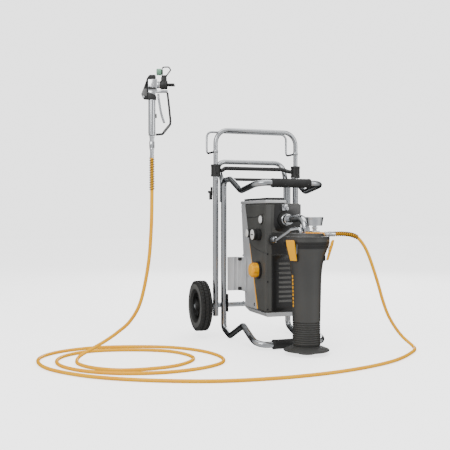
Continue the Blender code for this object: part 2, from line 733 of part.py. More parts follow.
def hose():
    """From the fitting it falls to the floor, sweeps past the front into two turns and rises to the gun."""
    falling = [
        (0.1223, -0.003, 0.4660),
        (0.160, -0.003, 0.4660),
        (0.1965, -0.002, 0.4620),
        (0.2265, 0.0, 0.4500),
        (0.2545, 0.0, 0.4195),
        (0.2770, 0.0, 0.3788),
        (0.2975, 0.0, 0.3277),
        (0.3197, 0.0, 0.2655),
        (0.3420, 0.0, 0.1960),
        (0.3660, 0.0, 0.1370),
        (0.4002, 0.0, 0.0830),
        (0.4350, -0.004, 0.0410),
        (0.4560, -0.040, 0.0110),
    ]
    floor = [
        (0.4330, -0.091),
        (0.3830, -0.145),
        (0.2890, -0.224),
        (0.1850, -0.287),
        (0.0380, -0.343),
        (-0.122, -0.377),
        (-0.298, -0.386),
        (-0.478, -0.364),
        (-0.641, -0.304),
        (-0.792, -0.217),
        (-0.902, -0.116),
        (-0.984, 0.018),
        (-1.005, 0.152),
        (-0.974, 0.257),
        (-0.888, 0.333),
        (-0.764, 0.366),
        (-0.621, 0.341),
        (-0.476, 0.273),
        (-0.384, 0.163),
        (-0.348, 0.030),
        (-0.377, -0.084),
        (-0.480, -0.155),
        (-0.620, -0.178),
        (-0.762, -0.143),
        (-0.869, -0.066),
        (-0.931, 0.036),
        (-0.939, 0.143),
        (-0.894, 0.236),
        (-0.790, 0.291),
        (-0.650, 0.273),
        (-0.515, 0.203),
        (-0.455, 0.099),
        (-0.461, 0.002),
        (-0.543, -0.080),
        (-0.652, -0.105),
        (-0.752, -0.091),
        (-0.827, -0.031),
        (-0.866, 0.042),
    ]
    rising = [
        (-0.873, 0.097, 0.0090),
        (-0.854, 0.140, 0.0205),
        (-0.809, 0.150, 0.0425),
        (-0.764, 0.135, 0.0700),
        (-0.721, 0.106, 0.1060),
        (-0.682, 0.070, 0.1510),
        (-0.651, 0.035, 0.2250),
        (-0.630, 0.005, 0.3600),
        (-0.623, -0.010, 0.4860),
        (-0.6212, -0.0143, 0.6100),
        (*GUN_AT[:2], 0.7450),
    ]
    route = falling + [(x, y, HOSE_FLOOR) for x, y in floor] + rising
    tube("hose", along(route, 2), HOSE_R, "hose_jacket", None, 8)


# ---- spray gun


def gun(frame):
    ferrule = [(0, 0.781), (0.009, 0.781), (0.009, 0.776), (0.0075, 0.7755), (0.0075, 0.7453), (0, 0.7453)]
    turned("hose_ferrule", ferrule, "machined_steel", frame, sides=16)
    nut = [(0, 0.826), (0.0092, 0.826), (0.0092, 0.804), (0.0098, 0.8035), (0.0098, 0.7815), (0, 0.7815)]
    turned("swivel_nut", nut, "machined_steel", frame, sides=16)
    grip = [(0.013, 0.954), (0.013, 0.8263), (0.009, 0.8263), (0.009, 0.954)]
    turned("gun_handle", grip, "machined_steel", frame, sides=20)

    head = block("gun_head", (-0.014, -0.0125, 0.985), (0.026, 0.0125, 1.028), "machined_steel", frame)
    join(head, block("head_neck", (-0.0135, -0.012, 0.9543), (0.0145, 0.012, 0.990), None, frame))
    join(head, cylinder("head_nose", 0.0115, 0.020, 0.0298, (0, GUN_AXIS_Z), "X", None, frame))
    join(head, block("head_lug", (0.010, -0.006, 0.980), (0.0575, 0.006, 0.9885), None, frame))
    cut(head, cylinder("needle_bore", 0.0040, -0.020, 0.035, (0, GUN_AXIS_Z), "X", None, frame, 12))
    cylinder("gun_needle", 0.0032, -0.011, 0.0285, (0, GUN_AXIS_Z), "X", "machined_steel", frame, 12)

    hood = [(-0.0143, 0.9555), (-0.030, 0.957), (-0.038, 0.973), (-0.029, 0.996), (-0.010, 1.043)]
    hood += [(0.0137, 1.043), (0.0137, 1.0284), (-0.0143, 1.0284)]
    plate("gun_rear_cover", hood, -0.0125, 0.0125, "Y", "black_plastic", frame)

    u, z = TRIGGER_PIVOT
    lever = [(0, 0.0045), (0.0035, -0.026), (0.0105, -0.066), (0.0210, -0.099)]
    plate("trigger", band(lever, 0.009), -0.0085, 0.0085, "Y", "machined_steel", frame, (u, 0, z))
    bow = [(0.0558, 0.9794), (0.0600, 0.945), (0.0668, 0.882), (0.0655, 0.868)]
    bow += [(0.0380, 0.8310), (0.0138, 0.8290)]
    plate("trigger_guard", band(bow, 0.003), -0.006, 0.006, "Y", "black_plastic", frame)
    u, z = CATCH_PIVOT
    flap = [(-0.0017, -0.0015), (0.0017, -0.0015), (0.0017, 0.0140), (-0.0017, 0.0140)]
    plate("trigger_lock", flap, -0.006, 0.006, "Y", "black_plastic", frame, (u, 0, z))

    guard = cylinder("tip_guard", 0.0165, 0.0303, 0.056, (0, GUN_AXIS_Z), "X", "black_plastic", frame)
    guard = meshed(guard)
    join(guard, block("tip_tower", (0.033, -0.0085, 1.012), (0.053, 0.0085, 1.036), None, frame))
    join(guard, block("tip_wing", (0.050, -0.018, 1.005), (0.082, 0.018, 1.011), None, frame))
    cut(guard, cylinder("tip_bore", 0.0061, 0.985, 1.045, (TIP_U, 0), "Z", None, frame, 16))
    tip = cylinder("spray_tip", 0.0055, 0.994, 1.041, (TIP_U, 0), "Z", "black_plastic", frame, 16)
    tip = meshed(tip)
    join(tip, block("tip_base", (0.0345, -0.0045, 1.0365), (0.054, 0.0045, 1.0430), None, frame))
    loop = [(0.0375, 1.0410), (0.0375, 1.0720), (0.0600, 1.0725), (0.0680, 1.0620), (0.0520, 1.0410)]
    ring = tube("tip_loop", [(x, 0, z) for x, z in loop], 0.0024, None, frame, 8, True)
    join(tip, ring)
    join(tip, cylinder("tip_nub", 0.012, 0.017, 0.0378, (0, 1.0545), "X", None, frame, 16))


def main():
    for old in list(bpy.data.objects):
        bpy.data.objects.remove(old)
    bpy.context.scene.collection.children.link(model)
    bpy.context.scene.collection.children.link(cutters)
    trolley = empty("trolley", TROLLEY_AT)
    rear_tubes(trolley)
    handle(trolley)
    wheels(trolley)
    guard_frame(trolley)
    braces(trolley)
    housings(trolley)
    controls(trolley)
    motor_and_pump(trolley)
    pipes(trolley)
    container()
    lid()
    latches()
    gauge()
    hose()
    gun(empty("gun_frame", GUN_AT, GUN_TURN))


main()
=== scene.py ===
import math

import bpy
from mathutils import Matrix, Vector


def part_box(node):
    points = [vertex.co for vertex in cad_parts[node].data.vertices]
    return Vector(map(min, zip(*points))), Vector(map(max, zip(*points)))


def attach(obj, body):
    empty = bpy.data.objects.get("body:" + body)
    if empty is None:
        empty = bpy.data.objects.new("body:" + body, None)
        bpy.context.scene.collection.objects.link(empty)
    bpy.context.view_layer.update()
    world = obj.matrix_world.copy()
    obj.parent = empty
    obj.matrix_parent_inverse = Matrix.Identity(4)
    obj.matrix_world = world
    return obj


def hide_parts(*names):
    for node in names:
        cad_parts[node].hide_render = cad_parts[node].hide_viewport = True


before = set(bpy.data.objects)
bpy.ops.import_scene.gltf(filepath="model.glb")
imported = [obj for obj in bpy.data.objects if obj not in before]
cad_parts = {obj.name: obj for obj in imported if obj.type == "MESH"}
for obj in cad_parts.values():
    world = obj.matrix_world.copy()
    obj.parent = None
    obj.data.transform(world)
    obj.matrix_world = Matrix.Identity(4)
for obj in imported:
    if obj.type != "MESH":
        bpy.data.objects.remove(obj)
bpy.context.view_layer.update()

# Looks of the airless paint sprayer, built round its CAD frame. Lengths are in metres.


def centreOf(node):
    low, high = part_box(node)
    return (Vector(low) + Vector(high)) / 2


uprightLeft, uprightRight = centreOf("upright_left"), centreOf("upright_right")
trolleyAt = Matrix.Translation(((uprightLeft.x + uprightRight.x) / 2, uprightLeft.y, 0))
gunCentre = centreOf("gun_handle")
gunTurn = math.radians(-19.5)
gunAt = Matrix.Translation((gunCentre.x, gunCentre.y, 0)) @ Matrix.Rotation(gunTurn, 4, "Z")
containerAt = Matrix.Identity(4)


def addCamera():
    view = {"at": (-1.2415, -2.554, 0.533), "azimuth": -19.5, "lens": 57.84, "shift": -0.0178}
    data = bpy.data.cameras.new("camera")
    data.lens = view["lens"]
    data.shift_y = view["shift"]
    camera = bpy.data.objects.new("camera", data)
    camera.location = view["at"]
    camera.rotation_euler = (math.radians(90), 0, math.radians(view["azimuth"]))
    bpy.context.scene.collection.objects.link(camera)
    bpy.context.scene.camera = camera


def addLights():
    lights = {
        "keyLight": {"at": (-3.2, -2.6, 2.6), "size": 2.4, "power": 95},
        "fillLight": {"at": (2.6, -2.8, 1.8), "size": 1.6, "power": 30},
        "topLight": {"at": (0.0, 0.2, 3.4), "size": 3.0, "power": 60},
        "backLight": {"at": (1.5, 3.4, 2.0), "size": 2.0, "power": 60},
    }
    aim = Vector((-0.2, 0.2, 0.4))
    for name, light in lights.items():
        data = bpy.data.lights.new(name, "AREA")
        data.size = light["size"]
        data.energy = light["power"]
        lamp = bpy.data.objects.new(name, data)
        lamp.location = light["at"]
        lamp.rotation_euler = (aim - lamp.location).to_track_quat("-Z", "Y").to_euler()
        bpy.context.scene.collection.objects.link(lamp)
    world = bpy.data.worlds.new("studio")
    world.use_nodes = True
    tree = world.node_tree
    background = tree.nodes["Background"]
    rays = addNode(tree, "LightPath")
    # the white sweep itself, the soft light that it gives, and the dark room that bare metal mirrors
    given = addNode(tree, "Mix", data_type="RGBA")
    given.inputs["A"].default_value = (0.85, 0.85, 0.85, 1)
    way = addNode(tree, "TexCoord").outputs["Generated"]
    ahead = addNode(tree, "VectorMath", {0: way}, operation="DOT_PRODUCT")
    ahead.inputs[1].default_value = (0.334, 0.943, 0.0)
    share = addNode(tree, "MapRange", {"Value": ahead.outputs["Value"], "From Min": -1.0})
    room = addNode(tree, "ValToRGB", {"Fac": share.outputs["Result"]})
    room.color_ramp.elements[0].color = (0.80, 0.80, 0.82, 1)
    room.color_ramp.elements[1].color = (0.01, 0.01, 0.01, 1)
    for place, value in ((0.30, 1.15), (0.62, 0.55), (0.80, 0.03)):
        stop = room.color_ramp.elements.new(place)
        stop.color = (value, value, value, 1)
    tree.links.new(room.outputs["Color"], given.inputs["B"])
    tree.links.new(rays.outputs["Is Glossy Ray"], given.inputs["Factor"])
    seen = addNode(tree, "Mix", data_type="RGBA")
    seen.inputs["B"].default_value = (2.6, 2.6, 2.6, 1)
    tree.links.new(given.outputs["Result"], seen.inputs["A"])
    tree.links.new(rays.outputs["Is Camera Ray"], seen.inputs["Factor"])
    tree.links.new(seen.outputs["Result"], background.inputs["Color"])
    bpy.context.scene.world = world


def linear(hexColour):
    # an sRGB colour as linear values
    values = [int(hexColour[i : i + 2], 16) / 255 for i in (1, 3, 5)]
    return [v / 12.92 if v <= 0.04045 else ((v + 0.055) / 1.055) ** 2.4 for v in values] + [1.0]


def addNode(tree, kind, inputs=None, **settings):
    node = tree.nodes.new("ShaderNode" + kind)
    for name, value in settings.items():
        setattr(node, name, value)
    for name, value in (inputs or {}).items():
        if isinstance(value, bpy.types.NodeSocket):
            tree.links.new(value, node.inputs[name])
        else:
            node.inputs[name].default_value = value
    return node


# Two tones and a range of roughness follow one noise, with so many patches to a metre;
# grain is a finer noise: (features to a metre, height of the bump in metres).
finishes = {
    # cold drawn steel tube, satin: soft, wide highlights
    "satinSteelTube": dict(
        colour="#B2B4B6", second="#A2A5A8", metallic=1.0,
        roughness=(0.17, 0.21), grain=(700, 0.000004), patches=5,
    ),
    # bright turned steel: crisp highlights with fine tool marks
    "turnedSteel": dict(
        colour="#C8CACC", second="#B4B6B9", metallic=1.0,
        roughness=(0.12, 0.20), grain=(900, 0.000008), patches=16,
    ),
    # silver powder coat on sheet steel: a fine orange peel
    "silverPowderCoat": dict(
        colour="#D2D3D4", second="#C4C6C8", metallic=0.35,
        roughness=(0.34, 0.44), grain=(700, 0.00006), patches=10,
    ),
    # moulded ABS, dark grey: fine spark-eroded texture
    "darkGreyAbs": dict(
        colour="#4D4D4A", second="#434341",
        roughness=(0.42, 0.54), grain=(1100, 0.00007), patches=9,
    ),
    # moulded ABS, black and glossy
    "glossBlackAbs": dict(
        colour="#1D1D1D", second="#151515",
        roughness=(0.24, 0.34), grain=(600, 0.00003), patches=12,
    ),
    # glass-filled nylon, black: matt with a slight grain
    "blackNylon": dict(
        colour="#1C1C1B", second="#141414",
        roughness=(0.46, 0.60), grain=(900, 0.00008), patches=16,
    ),
    # blow-moulded polyethylene, dark grey: smooth, with a soft sheen
    "containerPolyethylene": dict(
        colour="#3F3F3D", second="#363635",
        roughness=(0.33, 0.42), grain=(300, 0.00005), patches=7,
    ),
    # moulded ABS, yellow
    "yellowAbs": dict(
        colour="#FFB800", second="#FFAE00", specular=0.3,
        roughness=(0.32, 0.42), grain=(900, 0.00005), patches=20,
    ),
    # foam rubber sleeve: open cells give a rough, dull skin
    "foamRubber": dict(
        colour="#1E1E1E", second="#141414",
        roughness=(0.62, 0.80), grain=(520, 0.00025), patches=30,
    ),
    # tyre rubber: matt, greyed with dust
    "tyreRubber": dict(
        colour="#171716", second="#262624",
        roughness=(0.62, 0.82), grain=(480, 0.00012), patches=22,
    ),
    # rubber of the tyre's flanks, a paler grey than the tread
    "sidewallRubber": dict(
        colour="#5A5A58", second="#474745",
        roughness=(0.55, 0.70), grain=(480, 0.00008), patches=18,
    ),
    # extruded polyurethane hose jacket: smooth, waxy yellow
    "hoseJacket": dict(
        colour="#FFBA00", second="#FFB000", specular=0.3,
        roughness=(0.30, 0.40), grain=(260, 0.00005), patches=12,
    ),
    # spring steel with a brassy coat
    "springWire": dict(
        colour="#7A5C22", second="#5C4318", metallic=0.6,
        roughness=(0.30, 0.42), grain=(900, 0.00002), patches=60,
    ),
    # white enamel of dials and knob ends
    "whiteEnamel": dict(
        colour="#F3F3F1", second="#E6E6E3",
        roughness=(0.22, 0.30), grain=(500, 0.00002), patches=30,
    ),
    # green nylon of the tip's key
    "greenNylon": dict(
        colour="#7FA98F", second="#6C967D",
        roughness=(0.30, 0.40), grain=(700, 0.00003), patches=60,
    ),
    # glass-filled nylon, grey, of the gun's rear cap and guard pad
    "greyNylon": dict(
        colour="#6A6A69", second="#585857",
        roughness=(0.40, 0.52), grain=(900, 0.00006), patches=40,
    ),
    # painted cast iron of the motor's case
    "castIron": dict(
        colour="#3B3D40", second="#313336", metallic=0.2,
        roughness=(0.50, 0.65), grain=(400, 0.0003), patches=15,
    ),
    # solder mask on a glass fibre board
    "solderMask": dict(
        colour="#1F5B38", second="#184A2D",
        roughness=(0.28, 0.36), grain=(800, 0.00003), patches=80,
    ),
}


def makeMaterial(name):
    material = bpy.data.materials.get(name)
    if material:
        return material
    look = finishes[name]
    material = bpy.data.materials.new(name)
    material.use_nodes = True
    tree = material.node_tree
    shader = tree.nodes["Principled BSDF"]
    place = addNode(tree, "TexCoord").outputs["Object"]
    density, height = look["grain"]
    patches = addNode(tree, "TexNoise", {"Vector": place, "Scale": look["patches"], "Detail": 4.0})
    grain = addNode(tree, "TexNoise", {"Vector": place, "Scale": density, "Detail": 2.0})
    tone = addNode(tree, "ValToRGB", {"Fac": patches.outputs["Fac"]})
    tone.color_ramp.elements[0].position = 0.35
    tone.color_ramp.elements[0].color = linear(look["colour"])
    tone.color_ramp.elements[1].position = 0.70
    tone.color_ramp.elements[1].color = linear(look["second"])
    low, high = look["roughness"]
    worn = addNode(tree, "MapRange", {"Value": patches.outputs["Fac"], "To Min": low, "To Max": high})
    bump = addNode(tree, "Bump", {"Height": grain.outputs["Fac"], "Distance": height, "Strength": 0.6})
    tree.links.new(tone.outputs["Color"], shader.inputs["Base Color"])
    tree.links.new(worn.outputs["Result"], shader.inputs["Roughness"])
    tree.links.new(bump.outputs["Normal"], shader.inputs["Normal"])
    shader.inputs["Specular IOR Level"].default_value = look.get("specular", 0.5)
    shader.inputs["Metallic"].default_value = look.get("metallic", 0.0)
    material.diffuse_color = linear(look["colour"])
    return material


def makeGlass():
    # float glass over the gauge's dial
    material = bpy.data.materials.new("gaugeGlass")
    material.use_nodes = True
    shader = material.node_tree.nodes["Principled BSDF"]
    shader.inputs["Base Color"].default_value = (1, 1, 1, 1)
    shader.inputs["Transmission Weight"].default_value = 1.0
    shader.inputs["Roughness"].default_value = 0.03
    shader.inputs["IOR"].default_value = 1.52
    return material


def makeFloor():
    bpy.ops.mesh.primitive_plane_add(size=30, location=(0, 0, -0.0004))
    floor = bpy.context.object
    floor.name = "floor"
    material = bpy.data.materials.new("paperSweep")
    material.use_nodes = True
    shader = material.node_tree.nodes["Principled BSDF"]
    shader.inputs["Base Color"].default_value = (0.93, 0.93, 0.93, 1)
    shader.inputs["Roughness"].default_value = 0.9
    shader.inputs["Emission Color"].default_value = (1, 1, 1, 1)
    shader.inputs["Emission Strength"].default_value = 1.9
    floor.data.materials.append(material)
    floor.visible_diffuse = False
    floor.visible_glossy = False


def select(*pieces):
    bpy.ops.object.select_all(action="DESELECT")
    for piece in pieces:
        piece.select_set(True)
    bpy.context.view_layer.objects.active = pieces[0]


def modify(piece, kind, **settings):
    select(piece)
    modifier = piece.modifiers.new(kind.lower(), kind)
    for name, value in settings.items():
        setattr(modifier, name, value)
    bpy.ops.object.modifier_apply(modifier=modifier.name)
    return piece


def bevel(piece, width, segments=2, angle=35):
    return modify(
        piece, "BEVEL", width=width, segments=segments, limit_method="ANGLE", angle_limit=math.radians(angle)
    )


def smooth(piece, angle=35):
    select(piece)
    bpy.ops.object.shade_smooth_by_angle(angle=math.radians(angle))
    return piece


def cleaned(piece):
    select(piece)
    bpy.ops.object.mode_set(mode="EDIT")
    bpy.ops.mesh.select_all(action="SELECT")
    bpy.ops.mesh.remove_doubles(threshold=1e-5)
    bpy.ops.mesh.normals_make_consistent(inside=False)
    bpy.ops.object.mode_set(mode="OBJECT")
    return piece


def box(low, high, edge=0.0008, segments=2):
    low, high = Vector(low), Vector(high)
    bpy.ops.object.select_all(action="DESELECT")
    bpy.ops.mesh.primitive_cube_add(size=1, location=(low + high) / 2)
    piece = bpy.context.object
    piece.scale = high - low
    bpy.ops.object.transform_apply(location=True, rotation=True, scale=True)
    return bevel(piece, edge, segments) if edge else piece


def lineObject(points, edges):
    mesh = bpy.data.meshes.new("line")
    mesh.from_pydata(points, edges, [])
    piece = bpy.data.objects.new("line", mesh)
    bpy.context.scene.collection.objects.link(piece)
    return piece


def towards(axis, at=(0, 0, 0)):
    # a frame at a place, with its Z along an axis
    turns = {"X": (90, "Y"), "-X": (-90, "Y"), "Y": (-90, "X"), "-Y": (90, "X"), "Z": (0, "Z")}
    angle, about = turns[axis]
    return Matrix.Translation(at) @ Matrix.Rotation(math.radians(angle), 4, about)


def lathe(profile, at=(0, 0, 0), axis="Z", sides=48, turn=360, start=0):
    # (radius, height) points spun round an axis; a profile that keeps off the axis is closed on itself
    ring = profile[0][0] > 0
    first = Matrix.Rotation(math.radians(start), 3, "Z")
    points = [first @ Vector((r, 0, h)) for r, h in profile]
    edges = [(i, i + 1) for i in range(len(points) - 1)] + ([(len(points) - 1, 0)] if ring else [])
    piece = lineObject(points, edges)
    select(piece)
    bpy.ops.object.mode_set(mode="EDIT")
    bpy.ops.mesh.select_all(action="SELECT")
    bpy.ops.mesh.spin(steps=sides, angle=math.radians(turn), center=(0, 0, 0), axis=(0, 0, 1))
    if turn < 360:
        bpy.ops.mesh.select_all(action="SELECT")
        bpy.ops.mesh.select_non_manifold()
        bpy.ops.mesh.edge_face_add()
    bpy.ops.object.mode_set(mode="OBJECT")
    cleaned(piece)
    piece.matrix_world = towards(axis, at)
    bpy.ops.object.transform_apply(location=True, rotation=True, scale=True)
    return smooth(piece)


def drill(radius, reach, at, axis, sides):
    # a cutter for a round hole that reaches as far to either side of a place
    return lathe([(0, reach), (radius, reach), (radius, -reach), (0, -reach)], at, axis, sides)


def rounded(corners, radii, steps=8):
    # the path with each inner corner replaced by an arc
    corners = [Vector(c) for c in corners]
    path = [corners[0]]
    for i in range(1, len(corners) - 1):
        before = (corners[i - 1] - corners[i]).normalized()
        after = (corners[i + 1] - corners[i]).normalized()
        half = before.angle(after) / 2
        reach = radii[i - 1] / math.tan(half)
        centre = corners[i] + (before + after).normalized() * radii[i - 1] / math.sin(half)
        startArm = (corners[i] + before * reach - centre).normalized()
        endArm = (corners[i] + after * reach - centre).normalized()
        for k in range(steps + 1):
            path.append(centre + startArm.slerp(endArm, k / steps).normalized() * radii[i - 1])
    path.append(corners[-1])
    return path


def mirrored(path):
    # the path, then its mirror image from right to left, back to its start
    return list(path) + [(-x, y, z) for x, y, z in reversed(path)]


def curveLine(path, radius, sides, closed=False):
    curve = bpy.data.curves.new("line", "CURVE")
    curve.dimensions = "3D"
    curve.bevel_depth = radius
    curve.bevel_resolution = max(0, sides // 2 - 2)
    curve.use_fill_caps = True
    spline = curve.splines.new("POLY")
    spline.points.add(len(path) - 1)
    spline.use_cyclic_u = closed
    for point, place in zip(spline.points, path):
        point.co = (*place, 1)
    piece = bpy.data.objects.new("line", curve)
    bpy.context.scene.collection.objects.link(piece)
    return piece


def tube(path, radius, sides=20, closed=False):
    piece = curveLine(path, radius, sides, closed)
    select(piece)
    bpy.ops.object.convert(target="MESH")
    return smooth(cleaned(bpy.context.object), 45)


def prism(outline, low, high, axis="Y", edge=0.0008, segments=2):
    # a flat outline made solid; its points are the other two coordinates, in order
    curve = bpy.data.curves.new("outline", "CURVE")
    curve.dimensions = "2D"
    curve.fill_mode = "BOTH"
    curve.extrude = (high - low) / 2
    spline = curve.splines.new("POLY")
    spline.points.add(len(outline) - 1)
    spline.use_cyclic_u = True
    for point, (a, b) in zip(spline.points, outline):
        point.co = (a, b, 0, 1)
    piece = bpy.data.objects.new("outline", curve)
    bpy.context.scene.collection.objects.link(piece)
    turn = {"X": (math.pi / 2, 0, math.pi / 2), "Y": (math.pi / 2, 0, 0), "Z": (0, 0, 0)}[axis]
    middle = [0, 0, 0]
    middle["XYZ".index(axis)] = (low + high) / 2
    piece.location = middle
    piece.rotation_euler = turn
    select(piece)
    bpy.ops.object.convert(target="MESH")
    piece = bpy.context.object
    bpy.ops.object.transform_apply(location=True, rotation=True, scale=True)
    cleaned(piece)
    modify(piece, "DECIMATE", decimate_type="DISSOLVE", angle_limit=math.radians(1))
    if edge:
        bevel(piece, edge, segments)
    return smooth(piece)


def strip(path, thickness):
    # the outline of a strip of one thickness along a flat path
    path = [Vector(p) for p in path]
    left, right = [], []
    for i, point in enumerate(path):
        ahead = path[min(i + 1, len(path) - 1)] - point
        behind = point - path[max(i - 1, 0)]
        along = (ahead.normalized() + behind.normalized()).normalized()
        across = Vector((-along.y, along.x)) * thickness / 2
        left.append(point + across)
        right.append(point - across)
    return [tuple(p) for p in left + right[::-1]]


def hexagon(acrossFlats, low, high, axis="Z", at=(0, 0, 0), edge=0.0008):
    radius = acrossFlats / math.sqrt(3)
    corners = [math.radians(60 * k) for k in range(6)]
    outline = [(radius * math.cos(corner), radius * math.sin(corner)) for corner in corners]
    return moved(prism(outline, low, high, "Z", edge), towards(axis, at))


def moved(piece, matrix):
    select(piece)
    piece.matrix_world = matrix @ piece.matrix_world
    bpy.ops.object.transform_apply(location=True, rotation=True, scale=True)
    if matrix.determinant() < 0:
        cleaned(piece)
    return piece


def copied(piece, matrix):
    twin = piece.copy()
    twin.data = piece.data.copy()
    bpy.context.scene.collection.objects.link(twin)
    return moved(twin, matrix)


def ringOf(piece, count, centre=Matrix.Identity(4), axis="Z", start=0):
    # copies of a piece, evenly round an axis, in place of the piece itself
    copies = []
    for k in range(count):
        turn = Matrix.Rotation(start + 2 * math.pi * k / count, 4, axis)
        copies.append(copied(piece, centre @ turn))
    bpy.data.objects.remove(piece)
    return copies


def joined(*pieces):
    select(*pieces)
    bpy.ops.object.join()
    return bpy.context.object


def cut(piece, *cutters):
    for cutter in cutters:
        modify(piece, "BOOLEAN", object=cutter, operation="DIFFERENCE", solver="EXACT")
        bpy.data.objects.remove(cutter)
    return smooth(piece)


def done(piece, name, material, body="root", place=containerAt, stands=()):
    # puts a finished piece in its place, with its material, its body and the CAD nodes that it stands for
    piece.name = name
    moved(piece, place)
    piece.data.materials.clear()
    piece.data.materials.append(makeMaterial(material) if isinstance(material, str) else material)
    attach(piece, body)
    if stands:
        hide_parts(*stands)
    return piece


def skinned(piece, node, material, body="root", place=containerAt):
    # the look of one CAD node, named after it
    return done(piece, f"{node}_skin", material, body, place, [node])


hose = {
    "radius": 0.0065,
    "falling": [
        (0.1223, -0.003, 0.4660),
        (0.160, -0.003, 0.4660),
        (0.1965, -0.002, 0.4620),
        (0.2265, 0.0, 0.4500),
        (0.2545, 0.0, 0.4195),
        (0.2770, 0.0, 0.3788),
        (0.2975, 0.0, 0.3277),
        (0.3197, 0.0, 0.2655),
        (0.3420, 0.0, 0.1960),
        (0.3660, 0.0, 0.1370),
        (0.4002, 0.0, 0.0830),
        (0.4350, -0.004, 0.0410),
        (0.4560, -0.040, 0.0110),
    ],
    "floor": [
        (0.4330, -0.091),
        (0.3830, -0.145),
        (0.2890, -0.224),
        (0.1850, -0.287),
        (0.0380, -0.343),
        (-0.122, -0.377),
        (-0.298, -0.386),
        (-0.478, -0.364),
        (-0.641, -0.304),
        (-0.792, -0.217),
        (-0.902, -0.116),
        (-0.984, 0.018),
        (-1.005, 0.152),
        (-0.974, 0.257),
        (-0.888, 0.333),
        (-0.764, 0.366),
        (-0.621, 0.341),
        (-0.476, 0.273),
        (-0.384, 0.163),
        (-0.348, 0.030),
        (-0.377, -0.084),
        (-0.480, -0.155),
        (-0.620, -0.178),
        (-0.762, -0.143),
        (-0.869, -0.066),
        (-0.931, 0.036),
        (-0.939, 0.143),
        (-0.894, 0.236),
        (-0.790, 0.291),
        (-0.650, 0.273),
        (-0.515, 0.203),
        (-0.455, 0.099),
        (-0.461, 0.002),
        (-0.543, -0.080),
        (-0.652, -0.105),
        (-0.752, -0.091),
        (-0.827, -0.031),
        (-0.866, 0.042),
    ],
    "rising": [
        (-0.873, 0.097, 0.0090),
        (-0.854, 0.140, 0.0205),
        (-0.809, 0.150, 0.0425),
        (-0.764, 0.135, 0.0700),
        (-0.721, 0.106, 0.1060),
        (-0.682, 0.070, 0.1510),
        (-0.651, 0.035, 0.2250),
        (-0.630, 0.005, 0.3600),
        (-0.623, -0.010, 0.4860),
        (-0.6212, -0.0143, 0.6100),
        (-0.6210, -0.0144, 0.7450),
    ],
    "lie": 0.0068,
    "guard": {"radius": 0.0088, "wire": 0.0017, "pitch": 0.0086, "lower": 0.104, "upper": 0.114, "sides": 10},
}


def along(points, steps):
    # a smooth curve through the points, with so many steps between two of them
    points = [Vector(p) for p in points]
    ends = [points[0] * 2 - points[1]] + points + [points[-1] * 2 - points[-2]]
    path = []
    for a, b, c, d in zip(ends, ends[1:], ends[2:], ends[3:]):
        for k in range(steps):
            t = k / steps
            square = a * 2 - b * 5 + c * 4 - d
            cube = b * 3 - a - c * 3 + d
            path.append((b * 2 + (c - a) * t + square * t**2 + cube * t**3) / 2)
    return path + [points[-1]]


def lengthOf(path):
    return sum((b - a).length for a, b in zip(path, path[1:]))


def springGuard(path, length):
    # a wire coiled round the start of a path
    guard = hose["guard"]
    turns = int(length / guard["pitch"])
    side = Vector((0, 1, 0))
    marks = [0]
    for a, b in zip(path, path[1:]):
        marks.append(marks[-1] + (b - a).length)
    points = []
    count = turns * guard["sides"]
    for k in range(count + 1):
        at = k / count * length
        i = max(j for j, mark in enumerate(marks[:-1]) if mark <= at)
        here = path[i].lerp(path[i + 1], (at - marks[i]) / (marks[i + 1] - marks[i]))
        ahead = (path[i + 1] - path[i]).normalized()
        across = side.cross(ahead).normalized() if abs(side.dot(ahead)) < 0.9 else Vector((1, 0, 0))
        over = ahead.cross(across)
        angle = k / guard["sides"] * 2 * math.pi
        points.append(here + (across * math.cos(angle) + over * math.sin(angle)) * guard["radius"])
    return tube(points, guard["wire"], 6)


def addHose():
    route = hose["falling"] + [(x, y, hose["lie"]) for x, y in hose["floor"]] + hose["rising"]
    path = along(route, 8)
    jacket = curveLine(path, hose["radius"], 20)
    jacket.name = "hoseJacketTube"
    jacket.data.materials.append(makeMaterial("hoseJacket"))
    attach(jacket, "root")
    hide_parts("hose")
    lower = done(springGuard(path, hose["guard"]["lower"]), "spring_guard_container", "springWire")
    upper = done(springGuard(path[::-1], hose["guard"]["upper"]), "spring_guard_gun", "springWire")
    print("hose length", round(lengthOf(path), 3))
    return jacket, path, [lower, upper]


trolley = {
    "rearX": 0.196,
    "tubeRadius": 0.0125,
    "rearBore": 0.0106,
    "rearTop": 0.7645,
    "rearLow": 0.0915,
    "uprightX": 0.1575,
    "collarRadius": 0.0215,
    "axle": (0.026, 0.136),
    "wheelX": 0.260,
    "lockZ": 0.630,
    "upperGrip": (-0.377, 0.671),
    "lowerGrip": (-0.389, 0.0205),
    "gripHalf": 0.086,
}


